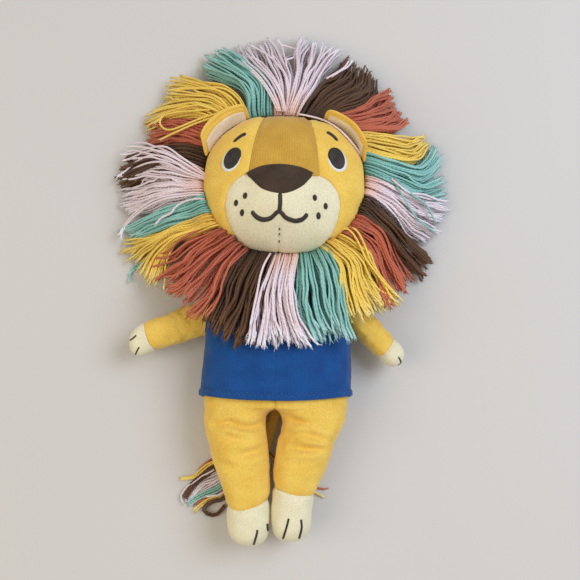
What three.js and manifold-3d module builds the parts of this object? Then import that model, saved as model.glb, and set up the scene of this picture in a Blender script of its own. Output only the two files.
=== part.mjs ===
// A plush rag-doll lion lying on its back: stuffed body, head and limbs, a shirt, a stitched face
// and a yarn mane.
// Millimetres. Seen from above the belly, +X is to the right, +Y towards the head and +Z up.
// The origin is the middle of the flat patch under the back. Left is -X and right is +X.

import * as THREE from "three";
import { LoftGeometry } from "three/addons/geometries/LoftGeometry.js";
import { mergeVertices } from "three/addons/utils/BufferGeometryUtils.js";
import Module from "manifold-3d";

const wasm = await Module();
wasm.setup();

// Cloth, stitching and clearances
const clearance = 0.3;
const clothThickness = 1.2;
const shirtThickness = 1.5;
const restCutDepth = 0.5;
const overrun = 12;
const stitchRise = 0.6;
const patchThickness = 0.8;
const mergeDistance = 0.0005;

// Body: distances along Y from the origin, half widths along X and half depths along Z
const seatReach = 46.5;
const seatRounding = 9;
const hipReach = 36;
const hipHalfWidth = 55.6;
const waistHalfWidth = 53.2;
const chestReach = 26;
const chestHalfWidth = 50.5;
const shoulderReach = 42;
const shoulderHalfWidth = 43;
const shoulderHalfDepth = 20;
const neckBaseReach = 57;
const neckHalfWidth = 12.5;
const bodyHalfDepth = 24;
const neckReach = 70;
const neckBallRadius = 15;
const neckOpening = 8;
const plumpness = 2.4;

// Shirt
const hemAboveSeat = 4;
const hemReach = seatReach - hemAboveSeat;
const collarBelowNeckBase = 5;
const collarReach = neckBaseReach - collarBelowNeckBase;

// Head: the seam plane between face and back carries the mane
const headHalfWidth = 62;
const headHalfHeight = 54.7;
const headFrontDepth = 38;
const headBackDepth = 46.5;
const headAboveNeck = 54;
const headSquareness = 2.3;
const muzzleBulge = 7;
const muzzleBulgeHalfWidth = 40;
const muzzleBulgeHalfHeight = 32;
const muzzleBulgeDrop = 26;

// Face panels
const muzzleHalfWidth = 42.6;
const muzzleTop = -2;
const muzzleBottom = -54.6;
const foreheadHalfWidthLow = 26;
const foreheadHalfWidthHigh = 15.5;
const foreheadSideBulge = 1.8;

// Nose, mouth and whisker dots, which sit a little left of the middle
const noseShift = -2.4;
const noseHalfWidth = 24.8;
const noseTop = 3.4;
const noseBottom = -18.6;
const mouthHalfWidth = 20.4;
const mouthMiddle = -30.8;
const mouthDrop = 5;
const mouthStitchWidth = 3.2;
const whiskerDotHalfWidth = 1.6;
const whiskerDotHalfHeight = 2.3;
const whiskerPlaces = [
  { across: -27.6, up: -19.9 },
  { across: -34.3, up: -24.7 },
  { across: -29.5, up: -31.5 },
  { across: 23, up: -20.2 },
  { across: 31.3, up: -24.2 },
  { across: 26.3, up: -31.5 },
];

// Eyes and brows: the right ones sit slightly higher
const pupilHalfWidth = 6.2;
const pupilHalfHeight = 8.6;
const eyeWhiteMargin = 0.8;
const eyeWhiteShift = 1.2;
const browStitchWidth = 1.7;
const browArch = 1.2;
const eyeSpecs = [
  {
    side: "left", outwards: -1, lean: -20,
    across: -38.3, up: 9.3, browInner: [-29.2, 30], browOuter: [-38.5, 23],
  },
  {
    side: "right", outwards: 1, lean: 15,
    across: 38.4, up: 12.6, browInner: [30.2, 34.7], browOuter: [39, 28.3],
  },
];

// Mane: a tape in the head seam carries twenty yarn tufts, numbered clockwise from the top
const tapeProud = 1.5;
const tapeHeight = 2.4;
const maneReach = 131;
const tuftRootThickness = 8;
const tuftMiddleThickness = 10.5;
const tuftTipThickness = 5;
const tuftRootDrop = 4.5;
const tuftRootOverlap = 1.5;
const tuftFloorGap = 4;
const tuftOverChest = 2.4;
const tuftCount = 20;
const firstTuftAngle = 101;
const tuftAngles = [106.5, 73.5, 47.5, 31.5, 16, -0.5, -15.5, -31, -47.5, -61.5, -79,
  -99, -116.5, -134, -153, -172.5, -185, -196.5, -208.5, -225, -253.5];
const tuftReachShares = [1.03, 0.95, 0.94, 0.99, 1.05, 1.01, 0.99, 1, 0.98, 0.985,
  0.985, 1.01, 0.95, 1.03, 1, 1.03, 1.045, 0.93, 0.99, 1.045];
const chestLiftFullAngle = 30;
const chestLiftEndAngle = 65;
const tuftStations = 6;
const tuftColumns = 3;

// Ears: flaps that stand on the rim of the face and lean outwards
const earStartAngle = 119;
const earEndAngle = 163;
const earHeight = 17;
const earUpperEndShare = 0.55;
const earLowerEndShare = 0.9;
const leftEarLean = 24;
const rightEarLean = 8;
const earFoot = 7;
const earBackThickness = 1.8;
const earLiningThickness = 1.2;
const earBorder = 4;
const earColumns = 7;
const earRows = 3;
const earSpecs = [
  { side: "left", mirror: -1, lean: leftEarLean },
  { side: "right", mirror: 1, lean: rightEarLean },
];

// Arms: the shoulder point lies inside the body, which the arm is cut by
const armCentreHeight = 22;
const armLength = 74.5;
const pawLength = 20;
const armRootHalfWidth = 13.9;
const armWristHalfWidth = 11.8;
const armRootHalfDepth = 10.6;
const armWristHalfDepth = 9.6;
const armRounding = 11;
const armSpecs = [
  { side: "left", across: -46.9, up: 26.4, heading: 201.5, roll: 0 },
  { side: "right", across: 43.1, up: 43.9, heading: -45, roll: 90 },
];

// Legs: distances run from the hip line towards the toes
const hipBelowSeat = 0.5;
const hipLine = seatReach + hipBelowSeat;
const legLength = 99;
const hipCentre = 29;
const legHipHalfWidth = 23.5;
const thighReach = 12;
const thighCentre = 28.5;
const thighHalfWidth = 22.4;
const kneeReach = 34;
const kneeCentre = 23.9;
const kneeHalfWidth = 20.7;
const ankleReach = 66;
const ankleCentre = 17.4;
const ankleHalfWidth = 16.4;
const toeCentre = 15.4;
const toeHalfWidth = 15.6;
const legHipHalfDepth = 18.4;
const legAnkleHalfDepth = 16.8;
const legFloorGap = 9.2;
const footRounding = 17;
const legSpecs = [
  { side: "left", mirror: -1, drawnUp: 0, footLength: 31 },
  { side: "right", mirror: 1, drawnUp: 4, footLength: 36 },
];

// Stitched toes and claws: how far from the tip they start and end, and where round the limb they lie
const clawStitchWidth = 1.6;
const clawRise = 0.7;
const clawStations = 3;
const toeStitches = [
  { from: 22, to: 4, turn: 105 },
  { from: 22, to: 4, turn: 72 },
];
const clawStitches = [
  { from: 11, to: 3, turn: 112 },
  { from: 11, to: 3, turn: 66 },
];

// Tail
const tailRadius = 4;
const tailFloorGap = 0.5;
const tailUnderSeat = 2.8;
const tailLength = 36;
const tailHeading = -104;
const tailTuftLength = 64;
const tailTuftHeading = -151;
const tailTuftRootHalfWidth = 4.2;
const tailTuftTipHalfWidth = 19;
const tailTuftThickness = 7.2;
const tailTuftTipThickness = 4;

// Facets round each kind of form
const bodyFacets = 18;
const limbFacets = 12;
const cordFacets = 8;
const headFacets = 24;
const headRings = 12;
const outlinePoints = 24;
const limbStations = 5;

// Places worked out from the sizes above
const shirtBuild = clearance + shirtThickness;
const bodyCentreHeight = bodyHalfDepth + shirtBuild - restCutDepth;
const seamHeight = headBackDepth - restCutDepth;
const fillInset = clothThickness + clearance;
const neckBallCentre = new THREE.Vector3(0, neckReach, bodyCentreHeight);
const headPlace = new THREE.Vector3(0, neckReach + headAboveNeck, seamHeight);
const skyward = new THREE.Vector3(0, 0, 1);

// Colours of the cloths and yarns
const cloths = {
  yellow: 0xf2c752,
  mustard: 0xcf9f3b,
  cream: 0xf1e8c8,
  blue: 0x2b68a8,
  brown: 0x4a3428,
  black: 0x33291f,
  white: 0xf6f4ec,
  stuffing: 0xefeee8,
};
const yarns = {
  pink: 0xeddad6,
  brown: 0x5a3a28,
  rust: 0xbd6049,
  yellow: 0xeecb66,
  teal: 0x8cc2b2,
};
const yarnOrder = ["pink", "brown", "rust", "yellow", "teal"];

const degrees = THREE.MathUtils.degToRad;
const mix = THREE.MathUtils.lerp;

// Solids

function solidOf(geometry) {
  const bare = new THREE.BufferGeometry();
  bare.setAttribute("position", geometry.getAttribute("position"));
  bare.setIndex(geometry.getIndex());
  const merged = mergeVertices(bare, mergeDistance);
  const mesh = new wasm.Mesh({
    numProp: 3,
    vertProperties: merged.attributes.position.array,
    triVerts: new Uint32Array(merged.index.array),
  });
  return new wasm.Manifold(mesh);
}

function geometryOf(solid) {
  const mesh = solid.getMesh();
  const geometry = new THREE.BufferGeometry();
  geometry.setAttribute("position", new THREE.BufferAttribute(mesh.vertProperties, mesh.numProp));
  geometry.setIndex(new THREE.BufferAttribute(mesh.triVerts, 1));
  geometry.computeVertexNormals();
  return geometry;
}

const loft = (sections) => solidOf(new LoftGeometry(sections, { capStart: true, capEnd: true }));

// The ball of the neck, whose facets run round X, the axis that the head nods about.
function ballSolid(centre, radius) {
  const geometry = new THREE.SphereGeometry(radius, headFacets, limbFacets / 2);
  return solidOf(geometry.rotateZ(Math.PI / 2).translate(centre.x, centre.y, centre.z));
}

function boxSolid(low, high) {
  const size = high.clone().sub(low);
  const centre = low.clone().add(high).divideScalar(2);
  return solidOf(new THREE.BoxGeometry(size.x, size.y, size.z).translate(centre.x, centre.y, centre.z));
}

// A prism along Z through an outline of 2-D points.
function prismSolid(outline, low, high) {
  const options = { depth: high - low, bevelEnabled: false };
  const geometry = new THREE.ExtrudeGeometry(new THREE.Shape(outline), options);
  return solidOf(geometry.translate(0, 0, low));
}

// A smooth curve through rows of [place, value, value, ...], which gives the values at any place.
function smoothRows(rows) {
  const places = rows.map((row) => row[0]);
  const values = rows.flatMap((row) => row.slice(1));
  const curve = new THREE.CubicInterpolant(places, values, rows[0].length - 1);
  return (place) => Array.from(curve.evaluate(place));
}

const evenly = (from, to, count) => Array.from({ length: count }, (_, i) => mix(from, to, i / (count - 1)));

const swell = (ratio, power) => Math.sign(ratio) * Math.abs(ratio) ** (2 / power);

// One closed ring round a stuffed form: an ellipse filled out towards a rectangle.
function ring(centre, across, upwards, halfWidth, halfDepth, facets) {
  return Array.from({ length: facets }, (_, i) => {
    const angle = (2 * Math.PI * i) / facets;
    return centre
      .clone()
      .addScaledVector(across, halfWidth * swell(Math.cos(angle), plumpness))
      .addScaledVector(upwards, halfDepth * swell(Math.sin(angle), plumpness));
  });
}

// How much of its full section a rounded end keeps at a distance from its tip.
function roundedEnd(distance, rounding) {
  if (distance >= rounding) return 1;
  return (1 - (1 - distance / rounding) ** plumpness) ** (1 / plumpness);
}

// Distances along a rounded end, closer together towards the tip.
const endShares = [0.015, 0.1, 0.28, 0.55, 1];

// Body

const bodyProfile = smoothRows([
  [-seatReach, hipHalfWidth, bodyHalfDepth],
  [-hipReach, hipHalfWidth, bodyHalfDepth],
  [0, waistHalfWidth, bodyHalfDepth],
  [chestReach, chestHalfWidth, bodyHalfDepth],
  [shoulderReach, shoulderHalfWidth, shoulderHalfDepth],
  [neckBaseReach, neckHalfWidth, neckHalfWidth],
  [neckReach, neckHalfWidth, neckHalfWidth],
]);
const leftwards = new THREE.Vector3(-1, 0, 0);

const trunkStations = [seatRounding - seatReach, -hipReach / 2, 0, chestReach / 2, chestReach,
  mix(chestReach, shoulderReach, 1 / 2), shoulderReach, mix(shoulderReach, collarReach, 1 / 2), collarReach];

function bodyRing(y, grow, facets) {
  const [halfWidth, halfDepth] = bodyProfile(y);
  const share = roundedEnd(y + seatReach + grow, seatRounding);
  const centre = new THREE.Vector3(0, y, bodyCentreHeight);
  return ring(centre, leftwards, skyward, (halfWidth + grow) * share, (halfDepth + grow) * share, facets);
}

// The body's outside, grown or shrunk evenly, with the ball of the neck on its end.
function bodySolid(grow, facets) {
  const seat = endShares.slice(0, -1).map((share) => share * seatRounding - seatReach - grow);
  const stations = [...seat, ...trunkStations, neckBaseReach, neckReach];
  const trunk = loft(stations.map((y) => bodyRing(y, grow, facets)));
  return trunk.add(ballSolid(neckBallCentre, neckBallRadius + grow));
}

function beyondY(y) {
  const wide = headHalfWidth + overrun;
  const far = new THREE.Vector3(wide, y + maneReach, wide + wide);
  return boxSolid(new THREE.Vector3(-wide, y, -wide), far);
}

function torsoPieces() {
  const neckMouth = beyondY(neckReach + neckOpening);
  const skin = bodySolid(0, bodyFacets).subtract(bodySolid(-clothThickness, bodyFacets)).subtract(neckMouth);
  const fill = bodySolid(-fillInset, bodyFacets).subtract(neckMouth);
  return { torso_skin: skin, torso_fill: fill };
}

// Shirt: a tube of jersey round the body, joined at its side seams, with an armhole round each arm

function shirtPieces(armSolids) {
  const tube = (grow, ys) => loft(ys.map((y) => shirtRing(y, grow)));
  const wide = hipHalfWidth + overrun;
  const tall = bodyCentreHeight + bodyHalfDepth + overrun;
  const low = new THREE.Vector3(-wide, -wide, 0);
  const seam = bodyCentreHeight;
  const outside = tube(shirtBuild, [-hemReach, ...trunkStations]);
  const inside = tube(clearance, [-hemReach - overrun, ...trunkStations, neckBaseReach]);
  let shell = outside.subtract(inside);
  for (const arm of armSolids) shell = shell.subtract(arm);
  const half = clearance / 2;
  const front = boxSolid(new THREE.Vector3(-wide, -wide, seam + half), new THREE.Vector3(wide, wide, tall));
  const back = boxSolid(low, new THREE.Vector3(wide, wide, seam - half));
  return { shirt_front: shell.intersect(front), shirt_back: shell.intersect(back) };
}

// The shirt hangs straight from the hips, so its rings don't round in at the seat.
function shirtRing(y, grow) {
  const [halfWidth, halfDepth] = bodyProfile(y);
  const centre = new THREE.Vector3(0, y, bodyCentreHeight);
  return ring(centre, leftwards, skyward, halfWidth + grow, halfDepth + grow, bodyFacets);
}

// Limbs: each is a smooth tube along a straight heading, with a rounded tip

class Limb {
  constructor({ start, heading, roll, length, rounding, profile }) {
    this.start = start;
    this.along = new THREE.Vector3(Math.cos(degrees(heading)), Math.sin(degrees(heading)), 0);
    this.length = length;
    this.rounding = rounding;
    this.profile = profile;
    this.across = new THREE.Vector3().crossVectors(skyward, this.along);
    this.upwards = skyward.clone();
    this.across.applyAxisAngle(this.along, degrees(roll));
    this.upwards.applyAxisAngle(this.along, degrees(roll));
    this.sideways = new THREE.Vector3().crossVectors(skyward, this.along);
  }

  measures(distance, inset) {
    const [shift, lift, halfWidth, halfDepth] = this.profile(distance);
    const share = roundedEnd(this.length - inset - distance, this.rounding - inset);
    const centre = this.start
      .clone()
      .addScaledVector(this.along, distance)
      .addScaledVector(this.sideways, shift)
      .addScaledVector(skyward, lift);
    return { centre, halfWidth: (halfWidth - inset) * share, halfDepth: (halfDepth - inset) * share };
  }

  ring(distance, inset, facets) {
    const { centre, halfWidth, halfDepth } = this.measures(distance, inset);
    return ring(centre, this.across, this.upwards, halfWidth, halfDepth, facets);
  }

  // The solid between two distances, or to the tip, where the rings close in as the end rounds over.
  solid(from, to, inset) {
    const tip = this.length - inset;
    const straight = evenly(0, this.length - this.rounding, limbStations);
    const rounded = endShares.slice(0, -1).map((share) => tip - share * (this.rounding - inset));
    const between = [...straight, ...rounded.reverse()].filter((place) => place > from && place < to);
    const stations = to < tip ? [from, ...between, to] : [from, ...between];
    return loft(stations.map((distance) => this.ring(distance, inset, limbFacets)));
  }

  // A point on the outside, raised by a given amount.
  surfacePoint(distance, turn, rise) {
    const { centre, halfWidth, halfDepth } = this.measures(distance, 0);
    return centre
      .addScaledVector(this.across, (halfWidth + rise) * swell(Math.cos(turn), plumpness))
      .addScaledVector(this.upwards, (halfDepth + rise) * swell(Math.sin(turn), plumpness));
  }

  // A line of satin stitch that lies on the outside and is rooted in the cloth.
  stitch({ from, to, turn }) {
    const angle = degrees(turn);
    const stations = evenly(this.length - from, this.length - to, clawStations);
    return loft(
      stations.map((distance) => {
        const { halfWidth } = this.measures(distance, 0);
        const half = clawStitchWidth / 2 / halfWidth;
        return [
          this.surfacePoint(distance, angle + half, -clothThickness / 2),
          this.surfacePoint(distance, angle - half, -clothThickness / 2),
          this.surfacePoint(distance, angle - half, clawRise),
          this.surfacePoint(distance, angle + half, clawRise),
        ];
      }),
    );
  }
}

// A limb's three pieces: the coloured sleeve, the cream cup on its end and the stuffing inside both.
function limbPieces(limb, { cupLength, rootInset, stitches, body }) {
  const seam = limb.length - cupLength;
  const half = clearance / 2;
  const hollow = limb.solid(-overrun, limb.length, clothThickness);
  const sleeve = limb.solid(rootInset, seam - half, 0).subtract(hollow).subtract(body);
  let cup = limb.solid(seam + half, limb.length, 0).subtract(hollow);
  for (const stitch of stitches) cup = cup.add(limb.stitch(stitch));
  const fill = limb.solid(rootInset, limb.length, fillInset).subtract(body);
  return { sleeve, cup, fill };
}

function armLimb({ across, up, heading, roll }) {
  const profile = smoothRows([
    [0, 0, 0, armRootHalfWidth, armRootHalfDepth],
    [armLength - pawLength, 0, 0, armWristHalfWidth, armWristHalfDepth],
    [armLength, 0, 0, armWristHalfWidth, armWristHalfDepth],
  ]);
  const start = new THREE.Vector3(across, up, armCentreHeight);
  return new Limb({ start, heading, roll, length: armLength, rounding: armRounding, profile });
}

function legLimb({ mirror, drawnUp }) {
  const lift = (halfDepth) => legFloorGap + halfDepth;
  const kneeHalfDepth = mix(legHipHalfDepth, legAnkleHalfDepth, kneeReach / ankleReach);
  const row = (reach, centre, halfWidth, halfDepth) =>
    [reach, mirror * centre, lift(halfDepth), halfWidth, halfDepth];
  const profile = smoothRows([
    row(0, hipCentre, legHipHalfWidth, legHipHalfDepth),
    row(thighReach, thighCentre, thighHalfWidth, legHipHalfDepth),
    row(kneeReach, kneeCentre, kneeHalfWidth, kneeHalfDepth),
    row(ankleReach, ankleCentre, ankleHalfWidth, legAnkleHalfDepth),
    row(legLength, toeCentre, toeHalfWidth, legAnkleHalfDepth),
  ]);
  const start = new THREE.Vector3(0, drawnUp - hipLine, 0);
  return new Limb({ start, heading: -90, roll: 0, length: legLength, rounding: footRounding, profile });
}

// Tail: a thin stuffed tube with a flat fan of yarn on its end

function flatFan({ start, heading, length, rootHalfWidth, tipHalfWidth, rootThickness, tipThickness }) {
  const along = new THREE.Vector3(Math.cos(degrees(heading)), Math.sin(degrees(heading)), 0);
  const across = new THREE.Vector3().crossVectors(skyward, along);
  const sections = evenly(0, 1, tuftStations).map((share) => {
    const halfWidth = mix(rootHalfWidth, tipHalfWidth, Math.sin((share * Math.PI) / 2));
    const halfDepth = mix(rootThickness, tipThickness, share) / 2;
    const centre = start.clone().addScaledVector(along, share * length).setZ(tailFloorGap + halfDepth);
    return ring(centre, across, skyward, halfWidth, halfDepth, cordFacets);
  });
  return loft(sections);
}

// The tail's round end turns about its own middle, close against the seat of the body.
function tailPieces() {
  const pivot = new THREE.Vector3(0, tailUnderSeat - seatReach - tailRadius, tailFloorGap + tailRadius);
  const along = new THREE.Vector3(Math.cos(degrees(tailHeading)), Math.sin(degrees(tailHeading)), 0);
  const across = new THREE.Vector3().crossVectors(skyward, along);
  const tube = (distances, radiusAt) =>
    loft(
      distances.map((distance) => {
        const centre = pivot.clone().addScaledVector(along, distance);
        const radius = radiusAt(distance);
        return ring(centre, across, skyward, radius, radius, cordFacets);
      }),
    );
  const rounded = endShares.slice(0, -1).map((share) => (share - 1) * tailRadius);
  const tail = tube(
    [...rounded, ...evenly(0, tailLength, 5)],
    (distance) => tailRadius * roundedEnd(distance + tailRadius, tailRadius),
  );
  const tailRoom = tube([tailLength - overrun, tailLength + clearance], () => tailRadius + clearance);
  const tuft = flatFan({
    start: pivot.clone().addScaledVector(along, tailLength - tailRadius),
    heading: tailTuftHeading,
    length: tailTuftLength,
    rootHalfWidth: tailTuftRootHalfWidth,
    tipHalfWidth: tailTuftTipHalfWidth,
    rootThickness: tailTuftThickness,
    tipThickness: tailTuftTipThickness,
  });
  return { tail, tail_tuft: tuft.subtract(tailRoom) };
}

// Head: built about its own centre in the seam plane, with the face towards +Z

const outlineRadius = (angle, grow) =>
  (Math.abs(Math.cos(angle) / (headHalfWidth + grow)) ** headSquareness +
    Math.abs(Math.sin(angle) / (headHalfHeight + grow)) ** headSquareness) **
  (-1 / headSquareness);

function muzzleSwell(x, y) {
  const r2 = (x / muzzleBulgeHalfWidth) ** 2 + ((y + muzzleBulgeDrop) / muzzleBulgeHalfHeight) ** 2;
  return r2 < 1 ? muzzleBulge * (1 - r2) ** 2 : 0;
}

// Height of the face's outside above the seam plane.
function faceHeight(x, y) {
  const share = Math.min(1, Math.hypot(x, y) / outlineRadius(Math.atan2(y, x), 0));
  return headFrontDepth * Math.sqrt(1 - share * share) + muzzleSwell(x, y);
}

function headSolid(grow, facets, rings) {
  const geometry = new THREE.SphereGeometry(1, facets, rings).rotateX(Math.PI / 2);
  const at = geometry.attributes.position;
  for (let i = 0; i < at.count; i += 1) {
    const angle = Math.atan2(at.getY(i), at.getX(i));
    const radius = Math.hypot(at.getX(i), at.getY(i)) * outlineRadius(angle, grow);
    const x = radius * Math.cos(angle);
    const y = radius * Math.sin(angle);
    const up = at.getZ(i);
    const z = up > 0 ? up * (headFrontDepth + grow) + muzzleSwell(x, y) : up * (headBackDepth + grow);
    at.setXYZ(i, x, y, z);
  }
  return solidOf(geometry);
}

// Outlines of the panels, mirrored from their right half, which runs from bottom to top.
const muzzleWidthShares = [0.55, 0.82, 0.96, 1, 0.93, 0.72, 0.4];
const muzzleHeightShares = [-0.06, 0.167, 0.39, 0.61, 0.81, 0.955, 1];
const noseWidthShares = [0.14, 0.45, 0.84, 1, 0.9, 0.5];
const noseHeightShares = [0.01, 0.17, 0.5, 0.75, 0.9, 0.98];

function mirroredOutline(widthShares, heightShares, halfWidth, bottom, top, points) {
  const right = widthShares.map((share, i) => [share * halfWidth, mix(bottom, top, heightShares[i])]);
  const left = right.map(([x, y]) => [-x, y]).reverse();
  const corners = [...right, ...left].map(([x, y]) => new THREE.Vector3(x, y, 0));
  const curve = new THREE.CatmullRomCurve3(corners, true, "centripetal");
  return curve.getPoints(points).slice(0, -1).map(({ x, y }) => new THREE.Vector2(x, y));
}

function grownOutline(outline, grow) {
  return outline.map((point, i) => {
    const before = outline.at(i - 1);
    const after = outline[(i + 1) % outline.length];
    const tangent = after.clone().sub(before).normalize();
    return point.clone().add(new THREE.Vector2(tangent.y, -tangent.x).multiplyScalar(grow));
  });
}

const muzzleOutline = mirroredOutline(
  muzzleWidthShares, muzzleHeightShares, muzzleHalfWidth, muzzleBottom, muzzleTop, outlinePoints);
const noseOutline = mirroredOutline(
  noseWidthShares, noseHeightShares, noseHalfWidth, noseBottom, noseTop, outlinePoints);

// The forehead panel narrows from the nose to the top of the head, with sides that bow outwards.
function foreheadOutline() {
  const high = headHalfHeight + overrun;
  const side = evenly(0, 1, 5).map((share) => {
    const bow = foreheadSideBulge * 4 * share * (1 - share);
    const halfWidth = mix(foreheadHalfWidthLow, foreheadHalfWidthHigh, share) + bow;
    return new THREE.Vector2(halfWidth, mix(muzzleTop, high, share));
  });
  const left = side.map(({ x, y }) => new THREE.Vector2(-x, y)).reverse();
  return [...side, ...left];
}

// A thin patch that follows the face, inside an outline of points and between two heights off its surface.
function facePatch(outline, low, high) {
  const layer = headSolid(high, headFacets, headRings).subtract(headSolid(low, headFacets, headRings));
  return layer.intersect(prismSolid(outline, 0, headFrontDepth + muzzleBulge + overrun));
}

// A ribbon of satin stitch that follows the face along a curve of points.
function faceStitch(points, width, low, high, count) {
  const curve = new THREE.SplineCurve(points);
  const sections = evenly(0, 1, count).map((share) => {
    const point = curve.getPoint(share);
    const tangent = curve.getTangent(share);
    const side = new THREE.Vector2(-tangent.y, tangent.x).multiplyScalar(width / 2);
    const corner = (sign, lift) => {
      const x = point.x + sign * side.x;
      const y = point.y + sign * side.y;
      return new THREE.Vector3(x, y, faceHeight(x, y) + lift);
    };
    return [corner(-1, low), corner(1, low), corner(1, high), corner(-1, high)];
  });
  return loft(sections);
}

function ellipseOutline(centre, halfWidth, halfHeight, lean, points) {
  const ellipse = new THREE.EllipseCurve(0, 0, halfWidth, halfHeight, 0, 2 * Math.PI, false, 0);
  const turned = ellipse.getPoints(points).slice(0, -1);
  return turned.map((point) => point.rotateAround(new THREE.Vector2(), degrees(lean)).add(centre));
}

function headPieces() {
  const wide = headHalfWidth + overrun;
  const deep = headFrontDepth + muzzleBulge + overrun;
  const seamHalf = tapeHeight / 2 + clearance;
  const corner = (x, y, z) => new THREE.Vector3(x, y, z);
  const outside = headSolid(0, headFacets, headRings);
  const inside = headSolid(-clothThickness, headFacets, headRings);
  const neckSocket = ballSolid(neckBallCentre.clone().sub(headPlace), neckBallRadius + clearance);
  const floor = boxSolid(corner(-wide, -wide, -deep * 2), corner(wide, wide, -headPlace.z));
  const shell = outside.subtract(inside);
  const face = shell.intersect(boxSolid(corner(-wide, -wide, seamHalf), corner(wide, wide, deep)));
  const back = shell.intersect(boxSolid(corner(-wide, -wide, -deep * 2), corner(wide, wide, -seamHalf)));
  const muzzlePrism = prismSolid(muzzleOutline, 0, deep);
  const muzzleGap = prismSolid(grownOutline(muzzleOutline, clearance), 0, deep);
  const foreheadPrism = prismSolid(foreheadOutline(), 0, deep);
  const foreheadGap = prismSolid(grownOutline(foreheadOutline(), clearance), 0, deep);
  const cheeks = face.subtract(muzzleGap).subtract(foreheadGap);
  const leftHalf = boxSolid(corner(-wide, -wide, 0), corner(-clearance / 2, wide, deep));
  const rightHalf = boxSolid(corner(clearance / 2, -wide, 0), corner(wide, wide, deep));
  let muzzle = face.intersect(muzzlePrism);
  for (const { across, up } of whiskerPlaces) {
    const middle = new THREE.Vector2(across, up);
    const outline = ellipseOutline(middle, whiskerDotHalfWidth, whiskerDotHalfHeight, 0, 8);
    muzzle = muzzle.add(facePatch(outline, -clothThickness / 2, stitchRise));
  }
  return {
    head_fill: headSolid(-fillInset, headFacets, headRings).subtract(neckSocket).subtract(floor),
    head_back: back.subtract(neckSocket).subtract(floor),
    forehead_panel: face.intersect(foreheadPrism).subtract(muzzleGap),
    left_cheek: cheeks.intersect(leftHalf),
    right_cheek: cheeks.intersect(rightHalf),
    muzzle,
  };
}

function nosePatch() {
  const outline = noseOutline.map(({ x, y }) => new THREE.Vector2(x + noseShift, y));
  return facePatch(outline, clearance, clearance + patchThickness);
}

// Half of the smile as shares of its half width and its drop, from the middle outwards.
const smileWidthShares = [0, 0.24, 0.54, 0.78, 1];
const smileDropShares = [0, 0.7, 1, 0.68, -0.18];

function mouthStitching() {
  const lift = [clearance, clearance + patchThickness];
  const half = (sign) =>
    smileWidthShares.map((share, i) => {
      const x = noseShift + sign * share * mouthHalfWidth;
      return new THREE.Vector2(x, mouthMiddle - smileDropShares[i] * mouthDrop);
    });
  const top = noseBottom - clearance * 2 - patchThickness;
  const bottom = mouthMiddle - mouthStitchWidth / 2;
  const philtrum = evenly(top, bottom, 3).map((y) => new THREE.Vector2(noseShift, y));
  return faceStitch(half(-1), mouthStitchWidth, ...lift, 9)
    .add(faceStitch(half(1), mouthStitchWidth, ...lift, 9))
    .add(faceStitch(philtrum, mouthStitchWidth, ...lift, 4));
}

function eyePieces({ side, across, up, lean, outwards, browInner, browOuter }) {
  const centre = new THREE.Vector2(across, up);
  const whiteCentre = centre.clone().add(new THREE.Vector2(outwards * eyeWhiteShift, -eyeWhiteShift / 2));
  const pupil = ellipseOutline(centre, pupilHalfWidth, pupilHalfHeight, lean, 16);
  const white = ellipseOutline(
    whiteCentre, pupilHalfWidth + eyeWhiteMargin, pupilHalfHeight + eyeWhiteMargin, lean, 16);
  const inner = new THREE.Vector2(...browInner);
  const outer = new THREE.Vector2(...browOuter);
  const arch = inner.clone().add(outer).divideScalar(2);
  arch.add(new THREE.Vector2(0, browArch));
  const whiteTop = clearance + patchThickness;
  return {
    [`${side}_eye_white`]: facePatch(white, clearance, whiteTop),
    [`${side}_eye`]: facePatch(pupil, whiteTop + clearance, whiteTop + clearance + patchThickness),
    [`${side}_brow`]: faceStitch([inner, arch, outer], browStitchWidth, clearance, clearance + stitchRise, 5),
  };
}

// Mane

const directionAt = (angle) => new THREE.Vector2(Math.cos(angle), Math.sin(angle));

function seamOutline(grow, points) {
  return evenly(0, 2 * Math.PI, points + 1)
    .slice(0, -1)
    .map((angle) => directionAt(angle).multiplyScalar(outlineRadius(angle, grow)));
}

function maneTape() {
  const outer = prismSolid(seamOutline(tapeProud, headFacets * 2), -tapeHeight / 2, tapeHeight / 2);
  const inner = prismSolid(seamOutline(-clothThickness, headFacets), -tapeHeight, tapeHeight);
  return outer.subtract(inner);
}

const smooth = (share) => share * share * (3 - 2 * share);

// How far a tuft lies up on the chest: all the way at the bottom of the mane, not at all at its sides.
function chestShare(angle) {
  const turn = Math.abs(THREE.MathUtils.euclideanModulo(angle + 90 + 180, 360) - 180);
  const share = (chestLiftEndAngle - turn) / (chestLiftEndAngle - chestLiftFullAngle);
  return smooth(THREE.MathUtils.clamp(share, 0, 1));
}

const tuftRootRadius = (angle) => outlineRadius(degrees(angle), tapeProud) + clearance;

// The line between two neighbouring tufts: its angle at a distance from the head's centre.
function boundaryAngle(index, radius) {
  const root = firstTuftAngle - (index * 360) / tuftCount;
  const share = (radius - tuftRootRadius(root)) / (maneReach - tuftRootRadius(root));
  return mix(root, tuftAngles[index], smooth(THREE.MathUtils.clamp(share, 0, 1)));
}

function tuftUnderside(angle, share) {
  const lift = chestShare(angle);
  const chestTop = bodyCentreHeight + bodyHalfDepth + shirtBuild - seamHeight;
  const tip = mix(tuftFloorGap - seamHeight, chestTop + tuftOverChest, lift);
  const droop = mix(share ** 1.6, 1 - (1 - share) ** 3, lift);
  return mix(-tuftRootDrop, tip, droop);
}

const tuftThickness = smoothRows([
  [0, tuftRootThickness],
  [0.45, tuftMiddleThickness],
  [1, tuftTipThickness],
]);

// The room that the tape takes up, which every tuft's root is cut back by.
const tapeRoomOutline = seamOutline(tapeProud + clearance, headFacets * 2);
const tapeRoom = prismSolid(tapeRoomOutline, -tuftRootThickness, tuftRootThickness);

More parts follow.
